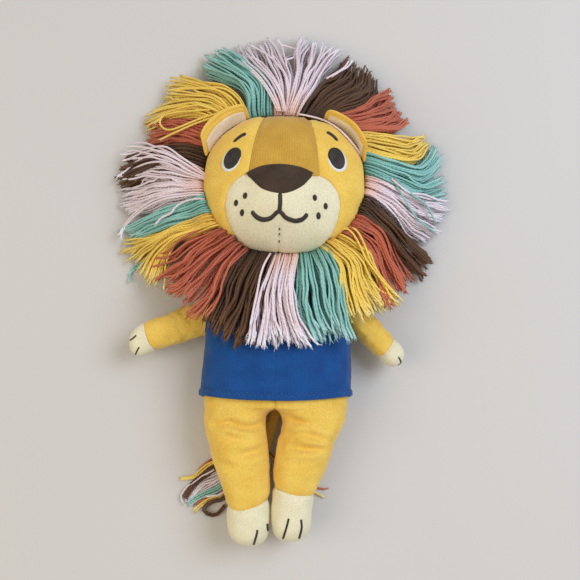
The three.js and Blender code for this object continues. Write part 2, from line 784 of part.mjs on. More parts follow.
function maneTuft(index) {
  const reach = maneReach * tuftReachShares[index];
  const sections = evenly(0, 1, tuftStations).map((share) => {
    const across = evenly(1, 0, tuftColumns).map((column) => {
      const root = tuftRootRadius(firstTuftAngle - ((index + column) * 360) / tuftCount);
      const radius = mix(root - tuftRootOverlap, reach, share);
      const margin = THREE.MathUtils.radToDeg(clearance / radius);
      const first = boundaryAngle(index, radius) - margin;
      const last = boundaryAngle(index + 1, radius) + margin;
      const angle = mix(first, last, column);
      const crown = mix(0.72, 1, Math.sin(column * Math.PI));
      const low = tuftUnderside(angle, share);
      const high = low + tuftThickness(share)[0] * crown;
      const place = directionAt(degrees(angle)).multiplyScalar(radius);
      return { place, low, high };
    });
    const under = across.map(({ place, low }) => new THREE.Vector3(place.x, place.y, low));
    const over = across.map(({ place, high }) => new THREE.Vector3(place.x, place.y, high)).reverse();
    return [...under, ...over];
  });
  return loft(sections).subtract(tapeRoom);
}

// Ears

// A curved plate that stands on the rim of the face, between two offsets outwards from its inner side.
function earPlate({ mirror, lean }, inner, thickness, border) {
  const rim = Math.sqrt(1 - (earFoot / headFrontDepth) ** 2);
  const sections = evenly(mirror, -mirror, earColumns).map((across) => {
    const half = (earEndAngle - earStartAngle) / 2;
    const middle = (earEndAngle + earStartAngle) / 2;
    const arc = degrees(half) * headHalfWidth;
    const angle = degrees(middle + across * half * (1 - border / arc));
    const endShare = mix(earUpperEndShare, earLowerEndShare, (1 + across) / 2);
    const full = earHeight * mix(endShare, 1, Math.sqrt(1 - across ** 4)) - border;
    const radius = outlineRadius(angle, 0) * rim + clearance;
    const point = (share, offset) => {
      const height = full * share;
      const out = radius + offset + height * Math.sin(degrees(lean));
      const up = earFoot + height * Math.cos(degrees(lean));
      return new THREE.Vector3(-mirror * Math.cos(angle) * out, Math.sin(angle) * out, up);
    };
    const rows = evenly(0, 1, earRows);
    const nearSide = rows.map((share) => point(share, inner));
    const farSide = rows.map((share) => point(share, inner + thickness)).reverse();
    return [...nearSide, ...farSide];
  });
  return loft(sections);
}

function earPieces({ side, ...stance }) {
  return {
    [`${side}_ear_lining`]: earPlate(stance, 0, earLiningThickness, earBorder),
    [`${side}_ear_back`]: earPlate(stance, earLiningThickness + clearance, earBackThickness, 0),
  };
}

// Assembly

function addPieces(group, pieces, colourOf, roughness = 0.95) {
  for (const [name, solid] of Object.entries(pieces)) {
    const material = new THREE.MeshStandardMaterial({ color: colourOf(name), roughness, metalness: 0 });
    const mesh = new THREE.Mesh(geometryOf(solid), material);
    mesh.name = name;
    group.add(mesh);
  }
  return group;
}

const lion = new THREE.Group();
const bodyClear = bodySolid(clearance, bodyFacets);

const arms = armSpecs.map((spec) => ({ ...spec, limb: armLimb(spec) }));
const armholes = arms.map(({ limb }) => limb.solid(-overrun, armLength, -clearance));
const torso = new THREE.Group();
addPieces(torso, torsoPieces(), (name) => (name === "torso_fill" ? cloths.stuffing : cloths.yellow));
addPieces(torso, shirtPieces(armholes), () => cloths.blue);
lion.add(torso);

for (const { side, limb } of arms) {
  const options = { cupLength: pawLength, rootInset: 0, stitches: clawStitches, body: bodyClear };
  const { sleeve, cup, fill } = limbPieces(limb, options);
  const arm = new THREE.Group();
  addPieces(arm, { [`${side}_arm_skin`]: sleeve }, () => cloths.yellow);
  addPieces(arm, { [`${side}_paw`]: cup }, () => cloths.cream);
  addPieces(arm, { [`${side}_arm_fill`]: fill }, () => cloths.stuffing);
  lion.add(arm);
}

for (const spec of legSpecs) {
  const limb = legLimb(spec);
  const rootInset = hemReach + clearance - hipLine + spec.drawnUp;
  const options = { cupLength: spec.footLength, rootInset, stitches: toeStitches, body: bodyClear };
  const { sleeve, cup, fill } = limbPieces(limb, options);
  const leg = new THREE.Group();
  addPieces(leg, { [`${spec.side}_leg_skin`]: sleeve }, () => cloths.yellow);
  addPieces(leg, { [`${spec.side}_foot`]: cup }, () => cloths.cream);
  addPieces(leg, { [`${spec.side}_leg_fill`]: fill }, () => cloths.stuffing);
  lion.add(leg);
}

const tail = new THREE.Group();
addPieces(tail, tailPieces(), (name) => (name === "tail" ? cloths.yellow : yarns.rust));
lion.add(tail);

const head = new THREE.Group();
head.position.copy(headPlace);
const headColours = {
  head_fill: cloths.stuffing,
  head_back: cloths.yellow,
  forehead_panel: cloths.mustard,
  left_cheek: cloths.yellow,
  right_cheek: cloths.yellow,
  muzzle: cloths.cream,
};
addPieces(head, headPieces(), (name) => headColours[name]);
addPieces(head, { nose_patch: nosePatch() }, () => cloths.brown);
addPieces(head, { mouth_stitching: mouthStitching() }, () => cloths.black);
for (const spec of eyeSpecs) {
  addPieces(head, eyePieces(spec), (name) => (name.endsWith("white") ? cloths.white : cloths.black));
}
addPieces(head, { mane_tape: maneTape() }, () => cloths.cream);
for (let index = 0; index < tuftCount; index += 1) {
  const name = `mane_tuft_${String(index + 1).padStart(2, "0")}`;
  addPieces(head, { [name]: maneTuft(index) }, () => yarns[yarnOrder[index % yarnOrder.length]], 1);
}
for (const spec of earSpecs) {
  const pieces = earPieces(spec);
  addPieces(head, pieces, (name) => (name.endsWith("lining") ? cloths.cream : cloths.yellow));
}
lion.add(head);

export default lion;
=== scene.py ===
import math
import random
from collections import namedtuple

import bmesh
import bpy
from mathutils import Matrix, Quaternion, Vector, noise
from mathutils.bvhtree import BVHTree
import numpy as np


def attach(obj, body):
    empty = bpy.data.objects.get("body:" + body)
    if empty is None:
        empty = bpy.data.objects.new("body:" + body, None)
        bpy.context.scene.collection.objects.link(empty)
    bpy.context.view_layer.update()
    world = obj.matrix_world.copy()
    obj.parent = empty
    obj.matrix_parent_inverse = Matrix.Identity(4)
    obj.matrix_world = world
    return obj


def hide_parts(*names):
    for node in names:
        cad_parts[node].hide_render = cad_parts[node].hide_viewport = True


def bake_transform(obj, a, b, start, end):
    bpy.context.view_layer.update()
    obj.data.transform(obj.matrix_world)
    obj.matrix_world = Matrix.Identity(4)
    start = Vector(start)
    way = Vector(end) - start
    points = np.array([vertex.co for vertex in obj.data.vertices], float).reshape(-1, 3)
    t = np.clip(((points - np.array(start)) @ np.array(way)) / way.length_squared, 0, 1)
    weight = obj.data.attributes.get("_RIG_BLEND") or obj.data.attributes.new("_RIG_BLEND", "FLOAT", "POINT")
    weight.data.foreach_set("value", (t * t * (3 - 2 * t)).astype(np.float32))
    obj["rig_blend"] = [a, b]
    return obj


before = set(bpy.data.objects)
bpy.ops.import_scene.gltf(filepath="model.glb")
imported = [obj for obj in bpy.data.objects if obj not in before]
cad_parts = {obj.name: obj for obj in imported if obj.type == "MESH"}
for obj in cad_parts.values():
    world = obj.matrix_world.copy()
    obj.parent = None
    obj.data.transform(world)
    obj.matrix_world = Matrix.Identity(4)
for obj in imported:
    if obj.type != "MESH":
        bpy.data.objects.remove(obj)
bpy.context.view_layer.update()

# Pieces are worked out in millimetres and made metres when they are finished.
MM = 0.001
UP = Vector((0, 0, 1))

CLEARANCE = 0.3
CLOTH_THICKNESS = 1.2
LINING_THICKNESS = 0.6
SHIRT_THICKNESS = 0.9
PLUMPNESS = 2.4

# The cloth simulation: how long it runs and how finely, the cloth's mass, the pressure inside, how much the
# cloth stretches by itself, and how often it is smoothed afterwards.
CLOTH_FRAMES = 14
CLOTH_QUALITY = 5
CLOTH_MASS = 0.2
CLOTH_PRESSURE = 4
CLOTH_SHRINK = -0.02
CLOTH_SMOOTHINGS = 3

CAMERA_PLACE = Vector((7.6486, -66.1249, 660.277))
CAMERA_AIM = Vector((7.6486, 45.0100, 30.0))
CAMERA_ROLL = 2.2
CAMERA_ANGLE = 38.468
ROOM_LIGHT = 0.45
FLOOR_HALF = 1500

HEAD = Vector((0, 124, 46))
HEAD_HALF_WIDTH = 62
HEAD_HALF_HEIGHT = 54.7
HEAD_FRONT_DEPTH = 38
HEAD_BACK_DEPTH = 46.5
HEAD_SQUARENESS = 2.3
EARS_FROM_TOP = 49

MANE_REACH = 131


# Small sums

def mix(a, b, share):
    return a + (b - a) * share


def clamp(share):
    return min(1.0, max(0.0, share))


def smooth(share):
    share = clamp(share)
    return share * share * (3 - 2 * share)


def hump(distance, width):
    return math.exp(-((distance / width) ** 2))


def swell(value):
    return math.copysign(abs(value) ** (2 / PLUMPNESS), value)


def rounded_end(distance, rounding):
    if distance >= rounding:
        return 1.0
    return (1 - (1 - max(distance, 0) / rounding) ** PLUMPNESS) ** (1 / PLUMPNESS)


def direction(angle):
    return Vector((math.cos(angle), math.sin(angle), 0))


def uneven(x, y, z=0.0):
    """A smooth random value between -1 and 1 at a place, the same on every run."""
    return noise.noise(Vector((x, y, z)))


def along_rows(rows, place):
    """The values of a table at place, along a smooth curve through its rows."""
    last = len(rows) - 1
    i = 0
    while i < last - 1 and place > rows[i + 1][0]:
        i += 1
    gap = rows[i + 1][0] - rows[i][0]
    t = clamp((place - rows[i][0]) / gap)

    def slope(j, k):
        low, high = max(0, j - 1), min(last, j + 1)
        return (rows[high][k] - rows[low][k]) / (rows[high][0] - rows[low][0])

    return [(2 * t ** 3 - 3 * t ** 2 + 1) * rows[i][k] + (t ** 3 - 2 * t ** 2 + t) * gap * slope(i, k)
            + (3 * t ** 2 - 2 * t ** 3) * rows[i + 1][k] + (t ** 3 - t ** 2) * gap * slope(i + 1, k)
            for k in range(1, len(rows[0]))]


def smooth_line(points, count, closed=False):
    """Count points, evenly spaced along a smooth curve through the given ones, in space or in plan."""
    points = [Vector(p).to_3d() for p in points]
    size = len(points)

    def corner(j):
        return points[j % size] if closed else points[min(max(j, 0), size - 1)]

    fine = []
    for i in range(size if closed else size - 1):
        a, b, c, d = corner(i - 1), corner(i), corner(i + 1), corner(i + 2)
        for k in range(16):
            t = k / 16
            fine.append(0.5 * (2 * b + (c - a) * t + (2 * a - 5 * b + 4 * c - d) * t * t
                               + (3 * b - a - 3 * c + d) * t ** 3))
    fine.append(points[0].copy() if closed else points[-1].copy())
    reach = [0.0]
    for before, after in zip(fine, fine[1:]):
        reach.append(reach[-1] + (after - before).length)
    steps = count if closed else count - 1
    line = []
    at = 0
    for k in range(count):
        want = reach[-1] * k / steps
        while at < len(fine) - 2 and reach[at + 1] < want:
            at += 1
        span = reach[at + 1] - reach[at]
        line.append(fine[at].lerp(fine[at + 1], (want - reach[at]) / span if span else 0.0))
    return line


# Camera, light and floor

def linear(colour):
    """An sRGB hex colour as linear RGBA."""
    parts = [int(colour[i:i + 2], 16) / 255 for i in (1, 3, 5)]
    return [c / 12.92 if c <= 0.04045 else ((c + 0.055) / 1.055) ** 2.4 for c in parts] + [1.0]


def place_camera():
    forward = (CAMERA_AIM - CAMERA_PLACE).normalized()
    right = forward.cross(Vector((0, 1, 0))).normalized()
    above = right.cross(forward)
    roll = Matrix.Rotation(math.radians(CAMERA_ROLL), 3, "Z")
    turn = Matrix((right, above, -forward)).transposed() @ roll
    camera = bpy.data.objects.new("photo_camera", bpy.data.cameras.new("photo_camera"))
    camera.data.angle = math.radians(CAMERA_ANGLE)
    camera.data.clip_start = 0.01
    camera.matrix_world = Matrix.Translation(CAMERA_PLACE * MM) @ turn.to_4x4()
    bpy.context.scene.collection.objects.link(camera)
    bpy.context.scene.camera = camera


def add_lamp(name, place, size, watts, colour):
    """A round lamp, in metres, that is aimed at the lion's middle."""
    light = bpy.data.lights.new(name, "AREA")
    light.shape = "DISK"
    light.size = size
    light.energy = watts
    light.color = linear(colour)[:3]
    lamp = bpy.data.objects.new(name, light)
    lamp.location = place
    lamp.rotation_euler = (Vector((0, 0.05, 0)) - Vector(place)).to_track_quat("-Z", "Y").to_euler()
    bpy.context.scene.collection.objects.link(lamp)


# Materials

# The scale at which a wave texture has one band in each unit of its map.
WAVE_UNIT = 0.31416


def add(tree, kind, inputs=None, **settings):
    """Adds a node with its settings. An input is a value, or the socket that feeds it."""
    node = tree.nodes.new(kind)
    for key, value in settings.items():
        setattr(node, key, value)
    for key, value in (inputs or {}).items():
        if isinstance(value, bpy.types.NodeSocket):
            tree.links.new(value, node.inputs[key])
        else:
            node.inputs[key].default_value = value
    return node


def per_mm(size):
    """A noise scale for features of that size, on a map whose unit is 100 mm."""
    return 100 / size


def bands_per_mm(spacing):
    """A wave scale for bands of that spacing, on a map whose unit is 100 mm."""
    return 100 * WAVE_UNIT / spacing


def start_material(name):
    material = bpy.data.materials.new(name)
    material.use_nodes = True
    material.node_tree.nodes.clear()
    return material, material.node_tree


def end_material(tree, shader):
    add(tree, "ShaderNodeOutputMaterial", {"Surface": shader.outputs[0]})


def brushed_jersey(name, light, dark, rib=1.7, rib_depth=0.15, rib_shade=0.03):
    # Cotton jersey, knitted in fine ribs and brushed: a matt, slightly furry face with a soft pale edge.
    # The ribs are 0.7 mm apart on the real cloth, and are drawn at 1.4 or 1.7 mm, which the render can show.
    material, tree = start_material(name)
    cloth = add(tree, "ShaderNodeTexCoord").outputs["UV"]
    mottle = add(tree, "ShaderNodeTexNoise", {"Vector": cloth, "Scale": per_mm(16), "Detail": 3})
    nap = add(tree, "ShaderNodeTexNoise", {"Vector": cloth, "Scale": per_mm(1.5), "Detail": 2})
    ribs = add(tree, "ShaderNodeTexWave",
               {"Vector": cloth, "Scale": bands_per_mm(rib), "Distortion": 0.6, "Detail": 1.0,
                "Detail Scale": 2.0}, bands_direction="X")
    spread = add(tree, "ShaderNodeMapRange", {"Value": mottle.outputs[0], "From Min": 0.3, "From Max": 0.7})
    body = add(tree, "ShaderNodeMixRGB",
               {"Fac": spread.outputs[0], "Color1": linear(dark), "Color2": linear(light)})
    fleck = add(tree, "ShaderNodeMapRange",
                {"Value": nap.outputs[0], "From Min": 0.3, "From Max": 0.7, "To Min": 0.9, "To Max": 1.06})
    # Painted shade: the grooves between the ribs are darkened by rib_shade, on top of the nap's random
    # flecks.
    rib_painted_shade = add(tree, "ShaderNodeMapRange",
                   {"Value": ribs.outputs[1], "To Min": 1 - rib_shade, "To Max": 1.01})
    tone = add(tree, "ShaderNodeMath", {0: fleck.outputs[0], 1: rib_painted_shade.outputs[0]}, operation="MULTIPLY")
    colour = add(tree, "ShaderNodeVectorMath", {0: body.outputs[0], "Scale": tone.outputs[0]},
                 operation="SCALE")
    relief = add(tree, "ShaderNodeMath",
                 {0: ribs.outputs[1], 1: rib_depth, 2: nap.outputs[0]}, operation="MULTIPLY_ADD")
    bump = add(tree, "ShaderNodeBump", {"Height": relief.outputs[0], "Strength": 0.35, "Distance": 0.0005})
    shader = add(tree, "ShaderNodeBsdfPrincipled",
                 {"Base Color": colour.outputs[0], "Roughness": 0.92, "Sheen Weight": 0.25,
                  "Sheen Roughness": 0.45, "Specular IOR Level": 0.2, "Normal": bump.outputs[0]})
    end_material(tree, shader)
    return material


def yarn_material(name, root, body, tip):
    # Four-ply mercerised cotton yarn: thin plies wound round each other, with a slight silky gleam.
    # The plies turn once in 7 mm; the map runs round the strand once and along it in centimetres.
    material, tree = start_material(name)
    strand = add(tree, "ShaderNodeTexCoord").outputs["UV"]
    # Painted shade: strands lying low in a tuft carry a lower value here and are drawn darker; the value
    # also differs at random.
    tone = add(tree, "ShaderNodeAttribute", attribute_name="strand_shade_and_tone").outputs["Fac"]
    share = add(tree, "ShaderNodeAttribute", attribute_name="strand_share").outputs["Fac"]
    turned = add(tree, "ShaderNodeMapping", {"Vector": strand, "Scale": (4.0, 5.7, 1.0)})
    plies = add(tree, "ShaderNodeTexWave",
                {"Vector": turned.outputs[0], "Scale": WAVE_UNIT, "Distortion": 0.0},
                bands_direction="DIAGONAL", wave_profile="SIN")
    fuzz = add(tree, "ShaderNodeTexNoise", {"Vector": strand, "Scale": 14.0, "Detail": 2})
    # Painted shade and light: a strand is darker at its root, where the strands crowd at the head, and paler
    # towards its cut tip.
    colour = add(tree, "ShaderNodeValToRGB", {"Fac": share})
    stops = colour.color_ramp.elements
    stops[0].position, stops[0].color = 0.02, linear(root)
    stops[1].position, stops[1].color = 0.97, linear(tip)
    for place in (0.3, 0.8):
        stops.new(place).color = linear(body)
    # Painted shade: the colour is darker in the grooves between the plies; the fuzz only varies it at
    # random.
    shades = ((tone, 0.8, 1.12), (plies.outputs[1], 0.84, 1.04), (fuzz.outputs[0], 0.9, 1.1))
    for value, low, high in shades:
        factor = add(tree, "ShaderNodeMapRange", {"Value": value, "To Min": low, "To Max": high})
        colour = add(tree, "ShaderNodeVectorMath", {0: colour.outputs[0], "Scale": factor.outputs[0]},
                     operation="SCALE")
    bump = add(tree, "ShaderNodeBump", {"Height": plies.outputs[1], "Strength": 0.6, "Distance": 0.0004})
    shader = add(tree, "ShaderNodeBsdfPrincipled",
                 {"Base Color": colour.outputs[0], "Roughness": 0.7, "Sheen Weight": 0.05,
                  "Sheen Roughness": 0.5, "Specular IOR Level": 0.35, "Normal": bump.outputs[0]})
    end_material(tree, shader)
    return material


def satin_stitch(name, light, dark, thread=0.9, gleam=0.45):
    # Rayon embroidery thread laid side by side across the stroke: fine cross lines with a soft gleam.
    # The threads are 0.4 mm apart and are drawn at 0.9 mm.
    material, tree = start_material(name)
    line = add(tree, "ShaderNodeTexCoord").outputs["UV"]
    threads = add(tree, "ShaderNodeTexWave",
                  {"Vector": line, "Scale": bands_per_mm(thread), "Distortion": 1.2, "Detail": 2.0,
                   "Detail Scale": 3.0}, bands_direction="X")
    uneven = add(tree, "ShaderNodeTexNoise", {"Vector": line, "Scale": per_mm(3), "Detail": 2})
    # Painted highlight and shade: the colour runs from dark in the gaps between threads to light on their
    # crowns, broken up at random by noise.
    both = add(tree, "ShaderNodeMath", {0: threads.outputs[1], 1: uneven.outputs[0]}, operation="MULTIPLY")
    colour = add(tree, "ShaderNodeMixRGB", {"Fac": both.outputs[0], "Color1": linear(dark),
                                            "Color2": linear(light)})
    bump = add(tree, "ShaderNodeBump", {"Height": threads.outputs[1], "Strength": 0.5, "Distance": 0.0003})
    shader = add(tree, "ShaderNodeBsdfPrincipled",
                 {"Base Color": colour.outputs[0], "Roughness": 0.5, "Sheen Weight": 0.1,
                  "Specular IOR Level": gleam, "Normal": bump.outputs[0]})
    end_material(tree, shader)
    return material


def plain_floor():
    # Painted board: matt and pale, so that only shadows show on it.
    material, tree = start_material("matt_painted_floor")
    place = add(tree, "ShaderNodeTexCoord").outputs["Object"]
    cloudy = add(tree, "ShaderNodeTexNoise", {"Vector": place, "Scale": 3.0, "Detail": 2})
    colour = add(tree, "ShaderNodeMixRGB", {"Fac": cloudy.outputs[0], "Color1": linear("#cdc9c1"),
                                            "Color2": linear("#d3cfc8")})
    shader = add(tree, "ShaderNodeBsdfPrincipled", {"Base Color": colour.outputs[0], "Roughness": 0.9,
                                                    "Specular IOR Level": 0.1})
    end_material(tree, shader)
    return material


YELLOW = brushed_jersey("brushed_cotton_jersey_yellow", "#f2cc60", "#e6ba4c")
MUSTARD = brushed_jersey("brushed_cotton_jersey_mustard", "#d3a745", "#c49638",
                         rib_depth=0.7, rib_shade=0.08)
CREAM = brushed_jersey("brushed_cotton_jersey_cream", "#eee6c1", "#e4dab4")
LINING = brushed_jersey("brushed_cotton_jersey_ear_lining", "#ecdfc8", "#dfcdb0")
BROWN = brushed_jersey("brushed_cotton_jersey_brown", "#493b2d", "#3b2e23")
BLUE = brushed_jersey("cotton_shirt_jersey_blue", "#185190", "#15437d",
                      rib=1.4, rib_depth=0.8, rib_shade=0.06)
DARK_THREAD = satin_stitch("embroidery_thread_dark_brown", "#41352b", "#241b15")
EYE_THREAD = satin_stitch("embroidery_thread_black_brown", "#352a20", "#1d1610")
WHITE_THREAD = satin_stitch("embroidery_thread_white", "#f4f5f2", "#dcdfde")
BLUE_THREAD = satin_stitch("sewing_thread_blue", "#3f77b2", "#2c5f98")
TAPE = satin_stitch("woven_cotton_tape", "#c29843", "#a9823a", gleam=0.2)
YARNS = {
    "pink": yarn_material("cotton_yarn_pale_pink", "#e6bfae", "#eddde0", "#f7f1f6"),
    "brown": yarn_material("cotton_yarn_brown", "#412c1b", "#5e3f27", "#754f2f"),
    "rust": yarn_material("cotton_yarn_rust", "#a9553c", "#c5694c", "#d07654"),
    "yellow": yarn_material("cotton_yarn_yellow", "#e0b448", "#f7d460", "#f8e08a"),
    "teal": yarn_material("cotton_yarn_teal", "#72a798", "#93c9be", "#b6dcd5"),
}


# Making pieces

def cloth_grid(columns, rows, width, length, place, bm=None):
    """A grid of cloth, width by length, whose points go to place(across, along), shares from 0 to 1."""
    bm = bm or bmesh.new()
    cloth_map = bm.loops.layers.uv.verify()
    made = bmesh.ops.create_grid(bm, x_segments=columns, y_segments=rows, size=0.5)["verts"]
    for face in {face for vert in made for face in vert.link_faces}:
        for loop in face.loops:
            x, y = loop.vert.co.xy
            loop[cloth_map].uv = ((x + 0.5) * width / 100, (y + 0.5) * length / 100)
    for vert in made:
        vert.co = place(vert.co.x + 0.5, vert.co.y + 0.5)
    return bm


def map_from_above(bm):
    """Lays the cloth's pattern on a piece of the head as it is seen from the front."""
    cloth_map = bm.loops.layers.uv.verify()
    for face in bm.faces:
        for loop in face.loops:
            loop[cloth_map].uv = loop.vert.co.xy / 100


def join_doubles(bm, distance=0.002):
    bmesh.ops.remove_doubles(bm, verts=bm.verts, dist=distance)


def face_outwards(bm, inside):
    bmesh.ops.recalc_face_normals(bm, faces=bm.faces)
    turned = sum((face.calc_center_median() - inside).dot(face.normal) * face.calc_area()
                 for face in bm.faces)
    if turned < 0:
        bmesh.ops.reverse_faces(bm, faces=bm.faces)


def close_bag(bm, inside, distance=0.005):
    """Joins a bag's seam and poles, closes its open ends and turns its faces outwards."""
    join_doubles(bm, distance)
    bmesh.ops.holes_fill(bm, edges=[edge for edge in bm.edges if edge.is_boundary], sides=0)
    face_outwards(bm, inside)


def finish_piece(name, bm, materials, body=None, instead_of=(), thickness=0.0):
    """Turns a bmesh in millimetres into a smooth piece in metres that rides on a body."""
    bmesh.ops.scale(bm, vec=(MM, MM, MM), verts=bm.verts)
    mesh = bpy.data.meshes.new(name)
    bm.to_mesh(mesh)
    bm.free()
    for material in materials:
        mesh.materials.append(material)
    mesh.shade_smooth()
    piece = bpy.data.objects.new(name, mesh)
    bpy.context.scene.collection.objects.link(piece)
    if thickness:
        wall = piece.modifiers.new("cloth_thickness", "SOLIDIFY")
        wall.thickness = thickness * MM
        wall.offset = -1
    if body:
        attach(piece, body)
    if instead_of:
        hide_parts(*instead_of)
    return piece


def blow_up(piece, held_share, most):
    """Lets a short cloth simulation fill a bag out where it isn't held, by at most that many mm."""
    scene = bpy.context.scene
    mesh = piece.data
    held = piece.vertex_groups.new(name="held")
    for vert in mesh.vertices:
        held.add([vert.index], held_share(vert.co / MM), "REPLACE")
    cloth = piece.modifiers.new("cloth", "CLOTH")
    cloth.settings.quality = CLOTH_QUALITY
    cloth.settings.mass = CLOTH_MASS
    cloth.settings.vertex_group_mass = "held"
    cloth.settings.use_pressure = True
    cloth.settings.uniform_pressure_force = CLOTH_PRESSURE
    cloth.settings.effector_weights.gravity = 0
    cloth.settings.shrink_min = CLOTH_SHRINK
    cloth.collision_settings.use_collision = False
    for frame_number in range(1, CLOTH_FRAMES + 1):
        scene.frame_set(frame_number)
    filled = piece.evaluated_get(bpy.context.evaluated_depsgraph_get()).data
    moves = [new.co - old.co for new, old in zip(filled.vertices, mesh.vertices)]
    piece.modifiers.remove(cloth)
    piece.vertex_groups.clear()
    for vert, move in zip(mesh.vertices, moves):
        if move.length > most * MM:
            move = move.normalized() * (most * MM)
        vert.co += move
        vert.co.z = max(vert.co.z, CLEARANCE * MM)
    scene.frame_set(1)
    bm = bmesh.new()
    bm.from_mesh(mesh)
    loose = [vert for vert in bm.verts if held_share(vert.co / MM) < 0.5]
    for _ in range(CLOTH_SMOOTHINGS):
        bmesh.ops.smooth_vert(bm, verts=loose, factor=0.5,
                              use_axis_x=True, use_axis_y=True, use_axis_z=True)
    bm.to_mesh(mesh)
    bm.free()


# The head's form

def outline_radius(angle, grow=0.0):
    across = abs(math.cos(angle) / (HEAD_HALF_WIDTH + grow)) ** HEAD_SQUARENESS
    up = abs(math.sin(angle) / (HEAD_HALF_HEIGHT + grow)) ** HEAD_SQUARENESS
    return (across + up) ** (-1 / HEAD_SQUARENESS)


def muzzle_swell(x, y):
    near = (x / 40) ** 2 + ((y + 26) / 32) ** 2
    return 7 * (1 - near) ** 2 if near < 1 else 0.0


# A place on the head is given by its plan place turned into a bearing: the distance from the middle is 0 at
# the front and 1 at the seam round the head.
def bearing(x, y):
    angle = math.atan2(y, x)
    share = min(1.0, math.hypot(x, y) / outline_radius(angle))
    return direction(angle).xy * (math.asin(share) / (math.pi / 2))


def head_point(place, back=False):
    angle = math.atan2(place.y, place.x)
    tilt = place.length * math.pi / 2
    reach = math.sin(tilt) * outline_radius(angle)
    x, y = reach * math.cos(angle), reach * math.sin(angle)
    if back:
        return Vector((x, y, -min(HEAD_BACK_DEPTH * math.cos(tilt), HEAD.z - 0.4)))
    return Vector((x, y, HEAD_FRONT_DEPTH * math.cos(tilt) + muzzle_swell(x, y)))


def head_place(place, lift=0.0, back=False):
    """The point on the head at that bearing, raised by lift along the surface's own direction."""
    point = head_point(place, back)
    if lift:
        east, north = Vector((0.01, 0)), Vector((0, 0.01))
        if place.length > 0.9:
            east *= -math.copysign(1, place.x)
            north *= -math.copysign(1, place.y)
        normal = (head_point(place + east, back) - point).cross(head_point(place + north, back) - point)
        if normal.dot(point + Vector((0, 0, 12))) < 0:
            normal.negate()
        point = point + normal.normalized() * lift
    return HEAD + point


def from_plan(x, y, lift=0.0):
    return head_place(bearing(x, y), lift)


MUZZLE_MIDDLE = Vector((0, -25))
MUZZLE_RIGHT = [(23.4, -57.8), (34.9, -45.8), (40.9, -34.1), (42.6, -22.5), (39.6, -12), (30.7, -4.4),
                (17, -2)]
MUZZLE_OUTLINE = smooth_line(MUZZLE_RIGHT + [(-x, y) for x, y in reversed(MUZZLE_RIGHT)], 160, closed=True)
FOREHEAD_LOW = 26
FOREHEAD_HIGH = 15.5
FOREHEAD_FOOT = -3.2


def forehead_side(share):
    """The forehead's right edge, from the nose to the top of the head, as a bearing."""
    x = mix(FOREHEAD_LOW, FOREHEAD_HIGH, share) + 1.8 * math.sin(math.pi * share)
    top = math.sqrt(max(0.0, 1 - (FOREHEAD_HIGH / HEAD_HALF_WIDTH) ** 2)) * HEAD_HALF_HEIGHT
    y = mix(FOREHEAD_FOOT, top + 2, share)
    return bearing(x, y)


def seam_dip(distance, place, depth=1.1, width=2.2):
    """How far cloth is drawn in beside a seam, with small puckers along it."""
    pucker = 1 + 0.5 * noise.noise(place / 2.4) + 0.35 * noise.noise(place / 9)
    return -depth * pucker * hump(distance, width)


def rim_dip(spot):
    """How far the seam round the head draws its panels in, most at the forehead's top and by the ears."""
    rim = spot.normalized()
    top = smooth((rim.y - 0.7) / 0.3)
    ear = hump(math.degrees(math.acos(rim.y)) - EARS_FROM_TOP, 15)
    depth = mix(2.2, 3.8, top) + 2.4 * ear
    width = mix(3.6, 13, max(top, 0.6 * ear))
    return seam_dip((1 - spot.length) * HEAD_HALF_WIDTH, head_point(rim), depth, width)


def muzzle_edge(turn):
    """The muzzle's edge in that direction from its middle, kept inside the head's outline, as a bearing."""
    ray = direction(turn).xy
    reach = 90.0
    for a, b in zip(MUZZLE_OUTLINE, MUZZLE_OUTLINE[1:] + MUZZLE_OUTLINE[:1]):
        side = (b - a).xy
        across = ray.x * side.y - ray.y * side.x
        if abs(across) < 1e-9:
            continue
        gap = a.xy - MUZZLE_MIDDLE
        t = (gap.x * side.y - gap.y * side.x) / across
        s = (gap.x * ray.y - gap.y * ray.x) / across
        if t > 0 and -1e-6 <= s <= 1 + 1e-6:
            reach = min(reach, t)
    low, high = 0.0, reach
    for _ in range(24):
        trial = (low + high) / 2
        x, y = MUZZLE_MIDDLE + ray * trial
        if math.hypot(x, y) > outline_radius(math.atan2(y, x)):
            high = trial
        else:
            low = trial
    return bearing(*(MUZZLE_MIDDLE + ray * low))


def finish_panel(name, bm, cloth, instead_of):
    """A stuffed panel of the head with its cloth's thickness."""
    face_outwards(bm, HEAD)
    panel = finish_piece(name, bm, [cloth], "head", instead_of, CLOTH_THICKNESS)


def make_muzzle():
    middle = bearing(*MUZZLE_MIDDLE)
    columns, rows = 180, 40
    edges = [muzzle_edge(math.tau * (k % columns) / columns) for k in range(columns + 1)]

    def place(across, along):
        edge = edges[round(across * columns)]
        spot = middle.lerp(edge, along)
        from_edge = (1 - along) * (edge - middle).length * 60
        ridge = seam_dip(from_edge, head_point(edge))
        point = head_point(spot)
        dart = 0.9 * hump(point.x + 1.7, 1.5) * smooth((-38 - point.y) / 6)
        quilt = 0.35 * uneven(point.x / 11, point.y / 11)
        return head_place(spot, ridge - dart + quilt)

    bm = cloth_grid(columns, rows, 250, 40, place)
    map_from_above(bm)
    join_doubles(bm)
    finish_panel("muzzle_cloth", bm, CREAM, ["muzzle"])


def cheek_inner_edge(count):
    """The edge that a cheek shares with the muzzle and the forehead, from the chin upwards."""
    muzzle = [muzzle_edge(math.radians(a)) for a in range(-89, 60)]
    start = next(i for i, edge in enumerate(muzzle) if edge.length < 0.995)
    foot = forehead_side(0)
    muzzle = [edge for edge in muzzle[max(0, start - 1):]
              if head_point(edge).x > head_point(foot).x * 0.985 or head_point(edge).y < -20]
    line = muzzle[::4] + [forehead_side(k / 14) for k in range(15)]
    return [point.xy for point in smooth_line(line, count)]


